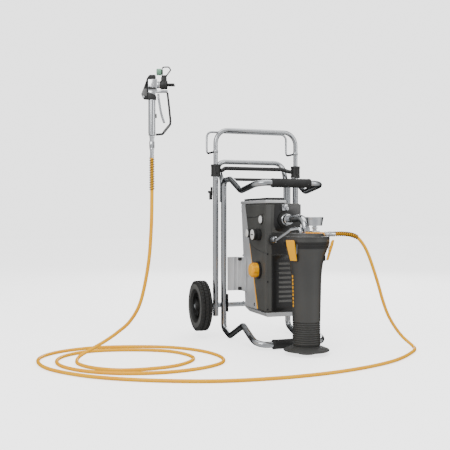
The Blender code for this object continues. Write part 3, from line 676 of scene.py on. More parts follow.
def addRearTubes():
    t = trolley
    r, bore = t["tubeRadius"], t["rearBore"]
    for side, x in (("left", -t["rearX"]), ("right", t["rearX"])):
        wall = [(r, t["rearTop"]), (r, t["rearLow"]), (bore, t["rearLow"]), (bore, t["rearTop"])]
        rail = lathe(wall, (x, 0, 0), sides=32)
        hole = drill(0.0046, 0.01, (x, -r, t["lockZ"]), "Y", 20)
        skinned(cut(rail, hole), f"rear_tube_{side}", "satinSteelTube", place=trolleyAt)
        plug = [
            (0, 0.0945), (0.0100, 0.0945), (0.0100, 0.0914), (0.0122, 0.0914), (0.0122, 0.0908), (0, 0.0908),
        ]
        done(lathe(plug, (x, 0, 0), sides=24), f"tube_plug_{side}", "blackNylon", place=trolleyAt)
        rivet = [(0, 0.0018), (0.0028, 0.0016), (0.0046, 0.0004), (0.0048, -0.001), (0, -0.001)]
        head = moved(lathe(rivet, sides=20), towards("-Y", (x, -r, 0.700)))
        done(head, f"tube_rivet_{side}", "turnedSteel", place=trolleyAt)
        wide, narrow = t["collarRadius"], 0.0207
        collar = [
            (0.0205, 0.768), (wide, 0.767), (wide, 0.7585), (narrow, 0.7575), (narrow, 0.7245),
            (wide, 0.7235), (wide, 0.715), (narrow, 0.714), (0.0128, 0.714), (0.0128, 0.765), (0.0104, 0.765),
            (0.0104, 0.768),
        ]
        skinned(lathe(collar, (x, 0, 0), sides=40), f"collar_{side}", "blackNylon", place=trolleyAt)
        clamp = box((x - 0.006, -0.0236, 0.728), (x + 0.006, -0.0195, 0.754), 0.0012)
        done(clamp, f"collar_clamp_{side}", "blackNylon", place=trolleyAt)
        button = [
            (0, 0.0045), (0.0022, 0.0043), (0.0036, 0.0034), (0.0040, 0.0020), (0.0040, -0.0050),
            (0, -0.0050),
        ]
        knob = moved(lathe(button, sides=24), towards("-Y", (x, -r, t["lockZ"])))
        skinned(knob, f"lock_button_{side}", "turnedSteel", f"lock_button_{side}", trolleyAt)


def addHandle():
    x, hangerZ = trolley["rearX"], 0.826
    bar = tube(rounded(mirrored([(-x, 0, 0.500), (-x, 0, 0.924)]), (0.060, 0.060), 12), 0.010, 24)
    groove = [box((s * x - 0.005, -0.012, 0.618), (s * x + 0.005, -0.004, 0.690), 0) for s in (-1, 1)]
    cut(bar, *groove)
    wire = [(-x, 0.004, hangerZ), (-0.200, 0.115, hangerZ), (-0.200, 0.115, 0.927)]
    hanger = tube(rounded(mirrored(wire), (0.022, 0.026, 0.026, 0.022), 8), 0.0048, 14)
    weld = [(0.0100, 0.007), (0.0116, 0.004), (0.0116, -0.004), (0.0100, -0.007)]
    welds = [lathe(weld, (s * x, 0, hangerZ), "Z", 24) for s in (-1, 1)]
    skinned(joined(bar, hanger, *welds), "handle", "satinSteelTube", "handle", trolleyAt)


def addAxleAndWheels():
    profile = [
        (0, 0.291), (0.008, 0.2905), (0.010, 0.289), (0.010, 0.2865), (0.006, 0.2862), (0.006, 0.2225),
        (0.0105, 0.2225), (0.011, 0.2215),
    ]
    profile += [(r, -h) for r, h in reversed(profile)]
    skinned(lathe(profile, (0, *trolley["axle"]), "X", 28), "axle", "satinSteelTube", place=trolleyAt)
    ear = [(-0.012, 0.187), (0.020, 0.187), (0.040, 0.150), (0.040, 0.122), (0.020, 0.107), (-0.012, 0.107)]
    for side, x in (("left", -0.141), ("right", 0.141)):
        done(prism(ear, x - 0.0022, x + 0.0022, "X"), f"axle_ear_{side}", "blackNylon", place=trolleyAt)
    blocks, spokes = 44, 5
    for side, sign in (("left", -1), ("right", 1)):
        at = (sign * trolley["wheelX"], *trolley["axle"])
        ridge = [
            (0.1072, 0.0235), (0.1095, 0.0205), (0.1095, 0.0120), (0.1062, 0.0105), (0.1062, 0.0085),
            (0.1105, 0.0070), (0.1105, -0.0070), (0.1062, -0.0085), (0.1062, -0.0105), (0.1095, -0.0120),
            (0.1095, -0.0205), (0.1072, -0.0235), (0.099, -0.0248), (0.0735, -0.0250), (0.0690, -0.0215),
            (0.0682, -0.0200), (0.0682, 0.0200), (0.0690, 0.0215), (0.0735, 0.0250), (0.099, 0.0248),
        ]
        tyre = lathe(ridge, at, "X", 88)
        block = box((0.0115, -0.0048, 0.1050), (0.0220, 0.0048, 0.1118), 0.0009, 1)
        middle = box((-0.0066, -0.0040, 0.1060), (0.0066, 0.0040, 0.1125), 0.0009, 1)
        centre = Matrix.Translation(at)
        twin = copied(block, Matrix.Rotation(math.pi, 4, "Z"))
        parts = [tyre] + ringOf(block, blocks, centre, "X") + ringOf(twin, blocks, centre, "X")
        parts += ringOf(middle, blocks, centre, "X", math.pi / blocks)
        body = f"wheel_{side}"
        skinned(joined(*parts), f"tyre_{side}", "tyreRubber", body, trolleyAt)
        for face in (-1, 1):
            flank = [(0.0975, 0.0246), (0.0955, 0.0256), (0.0775, 0.0257), (0.0752, 0.0247)]
            flank = [(r, h * face) for r, h in flank]
            name = f"sidewall_{side}_{'inner' if face * sign < 0 else 'outer'}"
            done(lathe(flank, at, "X", 64), name, "sidewallRubber", body, trolleyAt)
        rim = [
            (0.0672, 0.0200), (0.0640, 0.0205), (0.0600, 0.0180), (0.0590, -0.0180), (0.0640, -0.0205),
            (0.0672, -0.0200),
        ]
        hub = [(0.0225, 0.012), (0.0195, 0.0262), (0.0065, 0.0262)]
        hub += [(r, -h) for r, h in reversed(hub)]
        parts = [lathe(rim, at, "X", 64), lathe(hub, at, "X", 40)]
        spoke = [(0.018, -0.0095), (0.062, -0.0125), (0.062, 0.0125), (0.018, 0.0095)]
        spoke = prism(spoke, -0.007, 0.007, "X", 0.002)
        parts += ringOf(spoke, spokes, centre, "X", 0.3)
        plate = [(0.0108, 0.0284), (0.0150, 0.0282), (0.0205, 0.0266), (0.0205, 0.0258), (0.0108, 0.0258)]
        plate = [(r, h * sign) for r, h in plate]
        done(lathe(plate, at, "X", 40), f"hub_plate_{side}", "turnedSteel", body, trolleyAt)
        skinned(joined(*parts), f"wheel_rim_{side}", "blackNylon", body, trolleyAt)


def addGuardFrame():
    t = trolley
    for side, x in (("left", -t["uprightX"]), ("right", t["uprightX"])):
        rail = tube([(x, 0, 0.0803), (x, 0, 0.640)], t["tubeRadius"], 28)
        skinned(rail, f"upright_{side}", "satinSteelTube", place=trolleyAt)
    x = t["uprightX"]
    y, z = t["upperGrip"]
    upper = [
        (-x, 0, 0.6403), (-x, 0, 0.697), (-0.155, -0.082, 0.700), (-0.150, -0.200, 0.644), (-0.145, y, z),
    ]
    radii = (0.030, 0.060, 0.050, 0.050)
    path = rounded(mirrored(upper), radii + radii[::-1], 10)
    skinned(tube(path, t["tubeRadius"], 28), "upper_bow", "satinSteelTube", place=trolleyAt)
    y, z = t["lowerGrip"]
    lower = [
        (-x, 0, 0.0800), (-x, 0, 0.034), (-0.155, -0.077, 0.0112), (-0.150, -0.225, 0.077),
        (-0.148, -0.310, 0.040), (-0.151, y, z),
    ]
    radii = (0.030, 0.020, 0.022, 0.080, 0.045)
    path = rounded(mirrored(lower), radii + radii[::-1], 10)
    skinned(tube(path, t["tubeRadius"], 28), "lower_bow", "satinSteelTube", place=trolleyAt)
    for name, (y, z), r in (("upper_grip", t["upperGrip"], 0.0190), ("lower_grip", t["lowerGrip"], 0.0200)):
        half = [
            (0.0131, t["gripHalf"]), (r - 0.003, t["gripHalf"]), (r - 0.0008, t["gripHalf"] - 0.001),
            (r, t["gripHalf"] - 0.004), (r, t["gripHalf"] - 0.010), (r - 0.0007, t["gripHalf"] - 0.0115),
        ]
        profile = half + [(q, -h) for q, h in reversed(half)]
        skinned(lathe(profile, (0, y, z), "X", 40), name, "foamRubber", place=trolleyAt)


def addBraces():
    gap = 0.0006
    x = trolley["rearX"] - trolley["collarRadius"] - gap
    ends = [(-x, 0, 0.742), (-0.164, 0, 0.742), (-0.142, 0.030, 0.754)]
    path = rounded(mirrored(ends), (0.015, 0.020, 0.020, 0.015), 6)
    skinned(tube(path, 0.009, 20), "cross_brace_upper", "blackNylon", place=trolleyAt)
    restRadius = 0.011
    back = trolley["tubeRadius"] + restRadius + gap / 2
    path = [(-0.145, back, 0.704), (0.145, back, 0.704)]
    skinned(tube(path, 0.007, 20), "cross_brace_lower", "blackNylon", place=trolleyAt)
    rest = [(-0.1575, back, 0.600), (-0.1575, back, 0.700), (-0.165, 0.080, 0.787)]
    path = rounded(mirrored(rest), (0.045, 0.040, 0.040, 0.045), 10)
    skinned(tube(path, restRadius, 24), "hose_rest", "satinSteelTube", place=trolleyAt)

    def bracket(sign):
        fold = [
            (0.1446, -0.012), (0.118, -0.012), (0.114, -0.0145), (0.110, -0.012), (0.098, -0.012),
            (0.0828, -0.032), (0.0828, -0.088),
        ]
        sheet = prism(strip([(sign * a, b) for a, b in fold], 0.0025), 0.203, 0.354, "Z", 0.0006, 1)
        low, high = sorted((sign * 0.084, sign * 0.096))
        post = box((low, -0.030, 0.222), (high, -0.018, 0.336), 0.001)
        return joined(sheet, post)

    for side, sign in (("left", -1), ("right", 1)):
        skinned(bracket(sign), f"side_bracket_{side}", "silverPowderCoat", place=trolleyAt)
        for height in (0.212, 0.345):
            low, high = sorted((sign * 0.0835, sign * 0.0965))
            stub = box((low, -0.034, height - 0.007), (high, -0.017, height + 0.007), 0.002)
            done(stub, f"bracket_damper_{side}_{round(height * 1000)}", "blackNylon", place=trolleyAt)
    # the cable hook on the left rear tube
    hook = joined(
        box((-0.2170, 0.003, 0.628), (-0.2085, 0.012, 0.668), 0.002),
        box((-0.2290, 0.002, 0.640), (-0.2085, 0.013, 0.650), 0.002),
        box((-0.2235, 0.003, 0.610), (-0.2100, 0.012, 0.642), 0.002),
    )
    done(hook, "cable_hook", "blackNylon", place=trolleyAt)


unit = {
    "half": 0.080,
    "front": -0.303,
    "low": 0.137,
    "top": 0.590,
    "gap": 0.002,
    "slant": (-0.2060, -0.064),
    "suction": (0.007, 0.5226),
    "delivery": (-0.050, 0.440),
    "pressure": (-0.224, 0.309),
    "relief": (-0.2355, 0.459),
    "prime": (-0.149, 0.463),
    "power": (-0.256, 0.5225),
}


def shell(outline, half, openEdge, thickness, edge):
    # the (Y, Z) outline made into a box, with one side opened and the wall grown inwards
    piece = prism(outline, -half, half, "X", 0)
    select(piece)
    bpy.ops.object.mode_set(mode="EDIT")
    bpy.ops.mesh.select_all(action="DESELECT")
    bpy.ops.object.mode_set(mode="OBJECT")
    a, b = (Vector((0, *outline[i])) for i in openEdge)
    middle = (a + b) / 2
    opened = min(piece.data.polygons, key=lambda face: (face.center - middle).length)
    opened.select = True
    bpy.ops.object.mode_set(mode="EDIT")
    bpy.ops.mesh.delete(type="ONLY_FACE")
    bpy.ops.object.mode_set(mode="OBJECT")
    if edge:
        bevel(piece, edge, 4)
    return smooth(modify(piece, "SOLIDIFY", thickness=thickness, offset=-1))


def slantAt(z):
    # where the rear housing meets the front cover, at a height
    low, top = unit["low"], unit["top"] + unit["gap"]
    foot, head = unit["slant"]
    return foot + (z - low) / (top - low) * (head - foot)


def addHousings():
    u = unit
    top = u["top"] + u["gap"]
    foot, head = u["slant"]
    rear = [(-0.062, u["low"]), (foot, u["low"]), (head, top), (-0.012, top)]
    casing = shell(rear, u["half"], (1, 2), 0.0025, 0.007)
    side, front = u["half"] + 0.001, u["front"] - 0.002
    lid = [(-side, front), (0.012, front), (0.012, -0.156), (side, -0.156), (side, -0.010), (-side, -0.010)]
    plate = prism(lid, u["top"] + 0.0008, 0.604, "Z", 0.003, 3)
    skinned(joined(casing, plate), "rear_housing", "silverPowderCoat", place=trolleyAt)
    inner = side - 0.012
    cap = [
        (-inner, front + 0.010), (0.004, front + 0.010), (0.004, -0.164), (inner, -0.164), (inner, -0.024),
        (-inner, -0.024),
    ]
    done(prism(cap, 0.6042, 0.6138, "Z", 0.0025, 3), "top_mat", "blackNylon", place=trolleyAt)

    face = [(-0.2072, u["low"]), (u["front"], u["low"]), (u["front"], u["top"]), (-0.0658, u["top"])]
    cover = shell(face, u["half"], (3, 0), 0.003, 0.009)
    controls = ("pressure", "relief", "prime", "power")
    holes = [drill(0.0056, 0.012, (-u["half"], *u[name]), "X", 20) for name in controls]
    for name, radius in (("suction", 0.0286), ("delivery", 0.0226)):
        x, z = u[name]
        holes.append(drill(radius, 0.01, (x, u["front"], z), "Y", 40))
    cut(cover, *holes)
    skinned(cover, "front_cover", "darkGreyAbs", place=trolleyAt)

    low, high, half = 0.116, 0.1348, 0.0735
    pan = [(-0.062, high), (-0.086, low), (-0.288, low), (u["front"], high)]
    tray = shell(pan, half, (3, 0), 0.0025, 0.003)
    # the pan's sides lean in towards the floor
    for vertex in tray.data.vertices:
        lean = (vertex.co.z - low) / (high - low)
        vertex.co.x *= (0.067 + 0.013 * lean) / half
    skinned(tray, "bottom_pan", "silverPowderCoat", place=trolleyAt)


def addCoverDetail():
    u = unit
    skin, proud = u["half"], 0.0006
    # the black pump panel in the upper right of the front
    corner = [
        (-0.040, u["top"] - 0.004), (-0.044, 0.500), (-0.036, 0.478), (-0.018, 0.472), (0.074, 0.472),
        (0.079, 0.480), (0.079, u["top"] - 0.004),
    ]
    panel = prism(corner, u["front"] - 0.0022, u["front"] - 0.0002, "Y", 0.0008, 2)
    x, z = u["suction"]
    hole = drill(0.0292, 0.01, (x, u["front"], z), "Y", 40)
    done(cut(panel, hole), "pump_panel", "glossBlackAbs", place=trolleyAt)
    # the raised rib down the left of the front
    rib = [(-0.079, u["top"] - 0.006), (-0.079, 0.142), (-0.0565, 0.142), (-0.0565, u["top"] - 0.006)]
    rib = prism(rib, u["front"] - 0.0030, u["front"] - 0.0003, "Y", 0.0024, 3)
    done(rib, "front_rib", "darkGreyAbs", place=trolleyAt)
    lower = [(-0.052, 0.3735), (0.078, 0.3735), (0.078, 0.142), (-0.052, 0.142)]
    sheet = prism(lower, u["front"] - 0.0026, u["front"] - 0.0003, "Y", 0.0015, 2)
    pocket = box((-0.030, u["front"] - 0.01, 0.160), (0.070, u["front"] - 0.0012, 0.352), 0)
    done(cut(sheet, pocket), "louvre_frame", "glossBlackAbs", place=trolleyAt)
    back = box((-0.031, u["front"] - 0.0009, 0.159), (0.071, u["front"] - 0.0002, 0.353), 0)
    done(back, "louvre_back", "blackNylon", place=trolleyAt)
    middle = [(-0.052, 0.468), (-0.052, 0.379), (0.078, 0.379), (0.078, 0.468)]
    sheet = prism(middle, u["front"] - 0.0016, u["front"] - 0.0002, "Y", 0.0010, 2)
    x, z = u["delivery"]
    hole = drill(0.0246, 0.01, (x, u["front"], z), "Y", 40)
    done(cut(sheet, hole), "middle_panel", "blackNylon", place=trolleyAt)
    louvres = []
    for z in (0.178 + k * 0.0195 for k in range(9)):
        blade = [(u["front"] - 0.0004, z), (u["front"] - 0.0004, z + 0.012), (u["front"] - 0.0040, z)]
        louvres.append(prism(blade, -0.022, 0.062, "X", 0.0004, 1))
    done(joined(*louvres), "louvres", "darkGreyAbs", place=trolleyAt)
    # seams and the console's outline, drawn as thin black cords of gasket
    seams = {
        "seam_front": [(-0.056, u["front"] - 0.0006, 0.3765), (0.079, u["front"] - 0.0006, 0.3765)],
        "seam_corner": [
            (-skin + 0.0010, u["front"] - 0.0006, 0.145), (-skin + 0.0010, u["front"] - 0.0006, 0.586),
        ],
    }
    console = {
        "console_lower": [(-0.150, 0.409), (-0.200, 0.396), (-0.250, 0.388), (-0.300, 0.383)],
        "console_upper": [(-0.140, 0.5305), (-0.190, 0.533), (-0.235, 0.540), (-0.285, 0.546)],
    }
    for (name, path), start in zip(console.items(), (0.430, 0.533)):
        path = [(slantAt(start) - 0.003, start)] + path
        for side, x in (("left", -skin - 0.0002), ("right", skin + 0.0002)):
            seams[f"{name}_{side}"] = along([(x, y, z) for y, z in path], 6)
    for name, path in seams.items():
        done(tube(path, 0.0011, 8), name, "glossBlackAbs", place=trolleyAt)
    # the yellow stripe along the slanted joint, wider towards the floor
    for side, low, high in (("left", -skin - proud, -skin - 0.0001), ("right", skin + 0.0001, skin + proud)):
        stripe = [
            (slantAt(0.143) - 0.0135, 0.143), (slantAt(0.415) - 0.0040, 0.415),
            (slantAt(0.415) - 0.0015, 0.418), (slantAt(0.143) - 0.0015, 0.143),
        ]
        done(prism(stripe, low, high, "X", 0), f"stripe_{side}", "yellowAbs", place=trolleyAt)
    screw = [(0, 0.0012), (0.0034, 0.0010), (0.0042, 0.0002), (0.0042, -0.0010), (0, -0.0010)]
    for k, z in enumerate((0.380, 0.265, 0.150)):
        head = moved(lathe(screw, sides=20), towards("-Y", (-0.073, u["front"] - 0.0028, z)))
        done(head, f"corner_screw_{k}", "glossBlackAbs", place=trolleyAt)
    screws = [(-0.100, 0.275, 0.005), (-0.178, 0.158, 0.008), (-0.024, 0.577, 0.004), (-0.024, 0.560, 0.004)]
    for k, (y, z, r) in enumerate(screws):
        for side, x, axis in (("left", -skin, "-X"), ("right", skin, "X")):
            head = lathe([(0, 0.002), (r * 0.7, 0.0018), (r, 0.0006), (r, -0.001), (0, -0.001)], sides=24)
            head = moved(head, towards(axis, (x, y, z)))
            done(head, f"housing_screw_{k}_{side}", "turnedSteel", place=trolleyAt)


def addRearDetail():
    # the fan's grille, the mains inlet and the back's corner screws
    back = -0.012
    outline = [(-0.052, 0.405), (0.052, 0.405), (0.052, 0.535), (-0.052, 0.535)]
    frameBar = prism(outline, back + 0.0001, back + 0.0022, "Y", 0.0012)
    slats = []
    for rise in (0.0118 * k for k in range(10)):
        low, high = 0.418 + rise, 0.4225 + rise
        slats.append(box((-0.044, back + 0.0010, low), (0.044, back + 0.0040, high), 0.0008))
    done(joined(frameBar, *slats), "fan_grille", "blackNylon", place=trolleyAt)
    inlet = joined(
        box((-0.022, back + 0.0001, 0.196), (0.022, back + 0.0030, 0.230), 0.0020),
        box((-0.0145, back + 0.0020, 0.2015), (0.0145, back + 0.0050, 0.2245), 0.0016),
    )
    done(inlet, "mains_inlet", "glossBlackAbs", place=trolleyAt)
    corners = [(x, z) for x in (-0.068, 0.068) for z in (0.150, 0.360, 0.570)]
    for k, (x, z) in enumerate(corners):
        head = [(0, 0.0016), (0.0032, 0.0014), (0.0044, 0.0004), (0.0044, -0.001), (0, -0.001)]
        head = moved(lathe(head, sides=20), towards("Y", (x, back, z)))
        done(head, f"rear_screw_{k}", "turnedSteel", place=trolleyAt)


def addControls():
    u = unit
    wall = -u["half"]

    def onWall(piece, y, z):
        return moved(piece, towards("-X", (wall, y, z)))

    y, z = u["pressure"]
    plateau = [
        (0.0060, 0.0036), (0.0306, 0.0036), (0.0312, 0.0098), (0.0345, 0.0100), (0.0372, 0.0080),
        (0.0375, 0.0002), (0.0060, 0.0002),
    ]
    done(onWall(lathe(plateau, sides=48), y, z), "pressure_base", "glossBlackAbs", place=trolleyAt)
    skirt = [
        (0, 0.0400), (0.019, 0.0398), (0.0245, 0.0378), (0.0268, 0.0340), (0.0300, 0.0070), (0.0300, 0.0042),
        (0.005, 0.0042), (0.005, -0.013), (0, -0.013),
    ]
    knob = lathe(skirt, sides=48)
    flutes = ringOf(box((0.0262, -0.0030, 0.008), (0.0305, 0.0030, 0.034), 0.0012), 10)
    pointer = box((-0.006, -0.036, 0.011), (0.006, -0.018, 0.034), 0.0022, 3)
    knob = onWall(joined(knob, pointer, *flutes), y, z)
    skinned(knob, "pressure_knob", "yellowAbs", "pressure_knob", trolleyAt)

    y, z = u["relief"]
    barrel = [
        (0, 0.0340), (0.0222, 0.0338), (0.0240, 0.0326), (0.0245, 0.0270), (0.0240, 0.0262), (0.0240, 0.0150),
        (0.0250, 0.0142), (0.0250, 0.0004), (0.005, 0.0004), (0.005, -0.013), (0, -0.013),
    ]
    skinned(onWall(lathe(barrel, sides=48), y, z), "relief_knob", "blackNylon", "relief_knob", trolleyAt)
    disc = [(0, 0.0350), (0.0200, 0.0349), (0.0214, 0.0344), (0.0214, 0.0335), (0, 0.0335)]
    done(onWall(lathe(disc, sides=48), y, z), "relief_disc", "whiteEnamel", "relief_knob", trolleyAt)
    mark = box((-0.0022, -0.014, 0.0348), (0.0022, 0.014, 0.0354), 0.0002)
    done(onWall(mark, y, z), "relief_mark", "blackNylon", "relief_knob", trolleyAt)

    y, z = u["prime"]
    barrel = [
        (0, 0.0250), (0.0165, 0.0248), (0.0180, 0.0235), (0.0190, 0.0050), (0.0190, 0.0004), (0.005, 0.0004),
        (0.005, -0.013), (0, -0.013),
    ]
    skinned(onWall(lathe(barrel, sides=40), y, z), "prime_knob", "blackNylon", "prime_knob", trolleyAt)
    end = [(0, 0.0262), (0.0160, 0.0260), (0.0172, 0.0252), (0.0172, 0.0240), (0, 0.0240)]
    done(onWall(lathe(end, sides=40), y, z), "prime_disc", "whiteEnamel", "prime_knob", trolleyAt)

    y, z = u["power"]
    bezel = [(0.0168, 0.0036), (0.0196, 0.0030), (0.0200, 0.0010), (0.0200, 0.0002), (0.0168, 0.0002)]
    done(onWall(lathe(bezel, sides=40), y, z), "power_bezel", "blackNylon", place=trolleyAt)
    cap = [
        (0, 0.0088), (0.0110, 0.0086), (0.0150, 0.0076), (0.0160, 0.0060), (0.0160, 0.0042), (0.005, 0.0042),
        (0.005, -0.013), (0, -0.013),
    ]
    skinned(onWall(lathe(cap, sides=40), y, z), "power_button", "whiteEnamel", "power_button", trolleyAt)


def addPipes():
    u = unit
    face = u["front"] - 0.0093
    containerFromTrolley = trolleyAt.inverted()
    x, z = u["suction"]
    foot = containerFromTrolley @ Vector((0.0205, 0.052, 0.4703))
    path = rounded([(x, face - 0.004, z), (foot.x, foot.y, z + 0.008), tuple(foot)], (0.040,), 16)
    pipe = tube(path, 0.0150, 28)
    flange = [(0, 0.008), (0.0270, 0.008), (0.029, 0.0065), (0.029, 0), (0, 0)]
    collar = [
        (0, 0.036), (0.0195, 0.036), (0.0220, 0.033), (0.0220, 0.012), (0.0240, 0.0105), (0.0240, 0.0081),
        (0, 0.0081),
    ]
    sleeve = [(0, 0.022), (0.0165, 0.022), (0.0178, 0.0205), (0.0178, 0.0003), (0, 0.0003)]
    away = towards("-Y", (x, face, z))
    done(moved(lathe(flange, sides=48), away), "suction_flange", "blackNylon", place=trolleyAt)
    parts = [pipe, moved(lathe(collar, sides=48), away)]
    parts.append(moved(lathe(sleeve, sides=40), Matrix.Translation(foot)))
    skinned(joined(*parts), "suction_pipe", "turnedSteel", place=trolleyAt)
    ring = [(0.0292, 0.0085), (0.0330, 0.0075), (0.0338, 0.0040), (0.0338, 0.0012), (0.0292, 0.0012)]
    ring = moved(lathe(ring, sides=48), towards("-Y", (x, u["front"] - 0.0022, z)))
    done(ring, "suction_gasket", "blackNylon", place=trolleyAt)
    x, z = u["delivery"]
    foot = containerFromTrolley @ Vector((-0.0087, 0.030, 0.4703))
    corners = [
        (x, face, z), (x, face - 0.036, z), (-0.028, -0.440, 0.482), (foot.x, foot.y, 0.486), tuple(foot),
    ]
    pipe = tube(rounded(corners, (0.020, 0.030, 0.012), 10), 0.0085, 24)
    nut = moved(hexagon(0.024, 0.0, 0.014), towards("-Y", (x, face - 0.001, z)))
    skinned(joined(pipe, nut), "delivery_pipe", "turnedSteel", place=trolleyAt)
    ring = [(0.0150, 0.004), (0.0215, 0.0035), (0.0225, 0), (0.0150, 0)]
    ring = moved(lathe(ring, sides=40), towards("-Y", (x, u["front"] - 0.0095, z)))
    done(ring, "delivery_gasket", "blackNylon", place=trolleyAt)
    # the bleed valve over the suction port
    valve = [box((-0.0105, u["front"] - 0.0120, 0.559), (0.0175, u["front"] - 0.0023, 0.585), 0.003, 3)]
    for x, z in ((-0.002, 0.577), (0.009, 0.567)):
        stud = lathe([(0, 0.009), (0.0065, 0.008), (0.0075, 0), (0, 0)], sides=24)
        valve.append(moved(stud, towards("-Y", (x, u["front"] - 0.012, z))))
    done(joined(*valve), "bleed_valve", "turnedSteel", place=trolleyAt)


def addInternals():
    # what is inside keeps its CAD shape and gets a real finish
    looks = {
        "motor_can": "castIron",
        "rotor": "turnedSteel",
        "pump_block": "turnedSteel",
        "piston": "turnedSteel",
        "control_board": "solderMask",
        "dip_tube": "turnedSteel",
        "gun_needle": "turnedSteel",
        "gauge_needle": "blackNylon",
    }
    for node, look in looks.items():
        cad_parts[node].material_slots[0].material = makeMaterial(look)


container = {
    "rim": 0.0900,
    "rimTop": 0.4526,
    "ribLow": 0.034,
    "ribTop": 0.127,
    "ribs": 11,
    "outlet": (0.034, -0.003),
    "latchTurns": {"left": 207.5, "right": -32.5, "rear": 87.5},
    "latchRadius": 0.0815,
    "latchZ": 0.372,
}


def skinRadius(z):
    # the container's outside radius between its foot and its rim
    heights = [
        (0.127, 0.0545), (0.200, 0.0560), (0.313, 0.0595), (0.373, 0.069), (0.404, 0.080), (0.4355, 0.0898),
    ]
    for (z0, r0), (z1, r1) in zip(heights, heights[1:]):
        if z <= z1:
            return r0 + (r1 - r0) * (z - z0) / (z1 - z0)
    return container["rim"]


def addContainer():
    c = container
    flare = [
        (0.0560, 0, 0.200), (0.0595, 0, 0.313), (0.069, 0, 0.373), (0.080, 0, 0.404), (0.0885, 0, 0.4315),
    ]
    flare = along(flare, 5)
    inside = [
        (0, 0.040), (0.040, 0.040), (0.046, 0.046), (0.049, 0.127), (0.0562, 0.313), (0.066, 0.373),
        (0.077, 0.404), (0.0865, 0.4355), (0.0865, c["rimTop"]),
    ]
    skin = [(0.0893, c["rimTop"]), (0.0900, 0.4518), (0.0900, 0.4370), (0.0889, 0.4355)]
    skin += [(p.x, p.z) for p in reversed(flare)]
    pitch = (c["ribTop"] - c["ribLow"]) / c["ribs"]
    skin.append((0.0545, c["ribTop"] + 0.001))
    for k in range(c["ribs"]):
        z = c["ribTop"] - k * pitch
        skin += [
            (0.0545, z), (0.0516, z - pitch * 0.22), (0.0512, z - pitch * 0.45), (0.0543, z - pitch * 0.62),
        ]
    skin += [
        (0.0512, c["ribLow"] - 0.001), (0.0560, 0.0305), (0.0870, 0.0190), (0.0893, 0.0175), (0.0896, 0.0150),
        (0.0888, 0.0138), (0.0350, 0.0135), (0.0330, 0.0120), (0.0330, 0), (0, 0),
    ]
    skinned(lathe(inside + skin, sides=128), "container", "containerPolyethylene")
    rim = [(0.0905, 0.4500), (0.0905, 0.4470), (0.0890, 0.4470), (0.0890, 0.4500)]
    done(lathe(rim, sides=128), "rim_bead", "containerPolyethylene")
    # painted shade: a black band with two grooves round the flare below the rim, standing for the shade that
    # falls there
    heights = (0.4110, 0.4180, 0.4190, 0.4200, 0.4270, 0.4280, 0.4290, 0.4350)
    proud = (0.0012, 0.0014, 0.0004, 0.0014, 0.0014, 0.0004, 0.0014, 0.0012)
    outer = [(skinRadius(z) + more, z) for z, more in zip(heights, proud)]
    inner = [(skinRadius(z) - 0.0008, z) for z in reversed(heights)]
    done(lathe(outer + inner, sides=128), "painted_shade_neck_band", "blackNylon")
    # a plain broken stripe down the front, where the real one is lettered
    low, high, dashes, dash = 0.184, 0.312, 9, 0.0096
    bars = []
    for k in range(dashes):
        bottom = low + (high - low) * k / dashes
        ends = (bottom, bottom + dash)
        outer = [(skinRadius(z) + 0.0007, z) for z in ends]
        inner = [(skinRadius(z) - 0.0009, z) for z in reversed(ends)]
        bars.append(lathe(outer + inner, sides=4, turn=8, start=184))
    done(joined(*bars), "container_stripe", "yellowAbs")


def addLid():
    c = container
    cap = [
        (0, 0.470), (0.0640, 0.470), (0.0660, 0.4690), (0.0705, 0.4600), (0.0720, 0.4585), (0.0885, 0.4575),
        (0.0900, 0.4562), (0.0900, 0.4529), (0, 0.4529),
    ]
    cover = lathe(cap, sides=96)
    x, y = c["outlet"]
    pocket = lathe([(0, 0.480), (0.0406, 0.480), (0.0406, 0.4577), (0, 0.4577)], (x, y, 0), sides=64)
    skinned(cut(cover, pocket), "container_lid", "containerPolyethylene")
    ring = [
        (0.0360, 0.4738), (0.0374, 0.4726), (0.0376, 0.4700), (0.0400, 0.4695), (0.0400, 0.4592),
        (0.0385, 0.4580), (0.0300, 0.4580), (0.0300, 0.4738),
    ]
    lug = box((0.0375, -0.004, 0.4590), (0.0401, 0.004, 0.4672), 0.0008)
    lugs = ringOf(lug, 12, Matrix.Translation((x, y, 0)))
    piece = joined(lathe(ring, (x, y, 0), sides=64), *lugs)
    skinned(piece, "lid_ring", "yellowAbs")
    hub = [(0, 0.4700), (0.0265, 0.4700), (0.0285, 0.4688), (0.0292, 0.4660), (0.0292, 0.4580), (0, 0.4580)]
    stem = [
        (0, 0.4985), (0.0078, 0.4985), (0.0080, 0.4940), (0.0066, 0.4930), (0.0066, 0.4860), (0.0080, 0.4850),
        (0.0080, 0.478), (0, 0.478),
    ]
    block = box((-0.016, -0.016, 0.4688), (0.016, 0.016, 0.4790), 0.0022, 3)
    block = moved(block, Matrix.Translation((x, y, 0)))
    nut = hexagon(0.0215, 0.4870, 0.4935, at=(x, y, 0))
    piece = joined(lathe(hub, (x, y, 0), sides=48), lathe(stem, (x, y, 0), sides=32), block, nut)
    skinned(piece, "manifold", "turnedSteel")


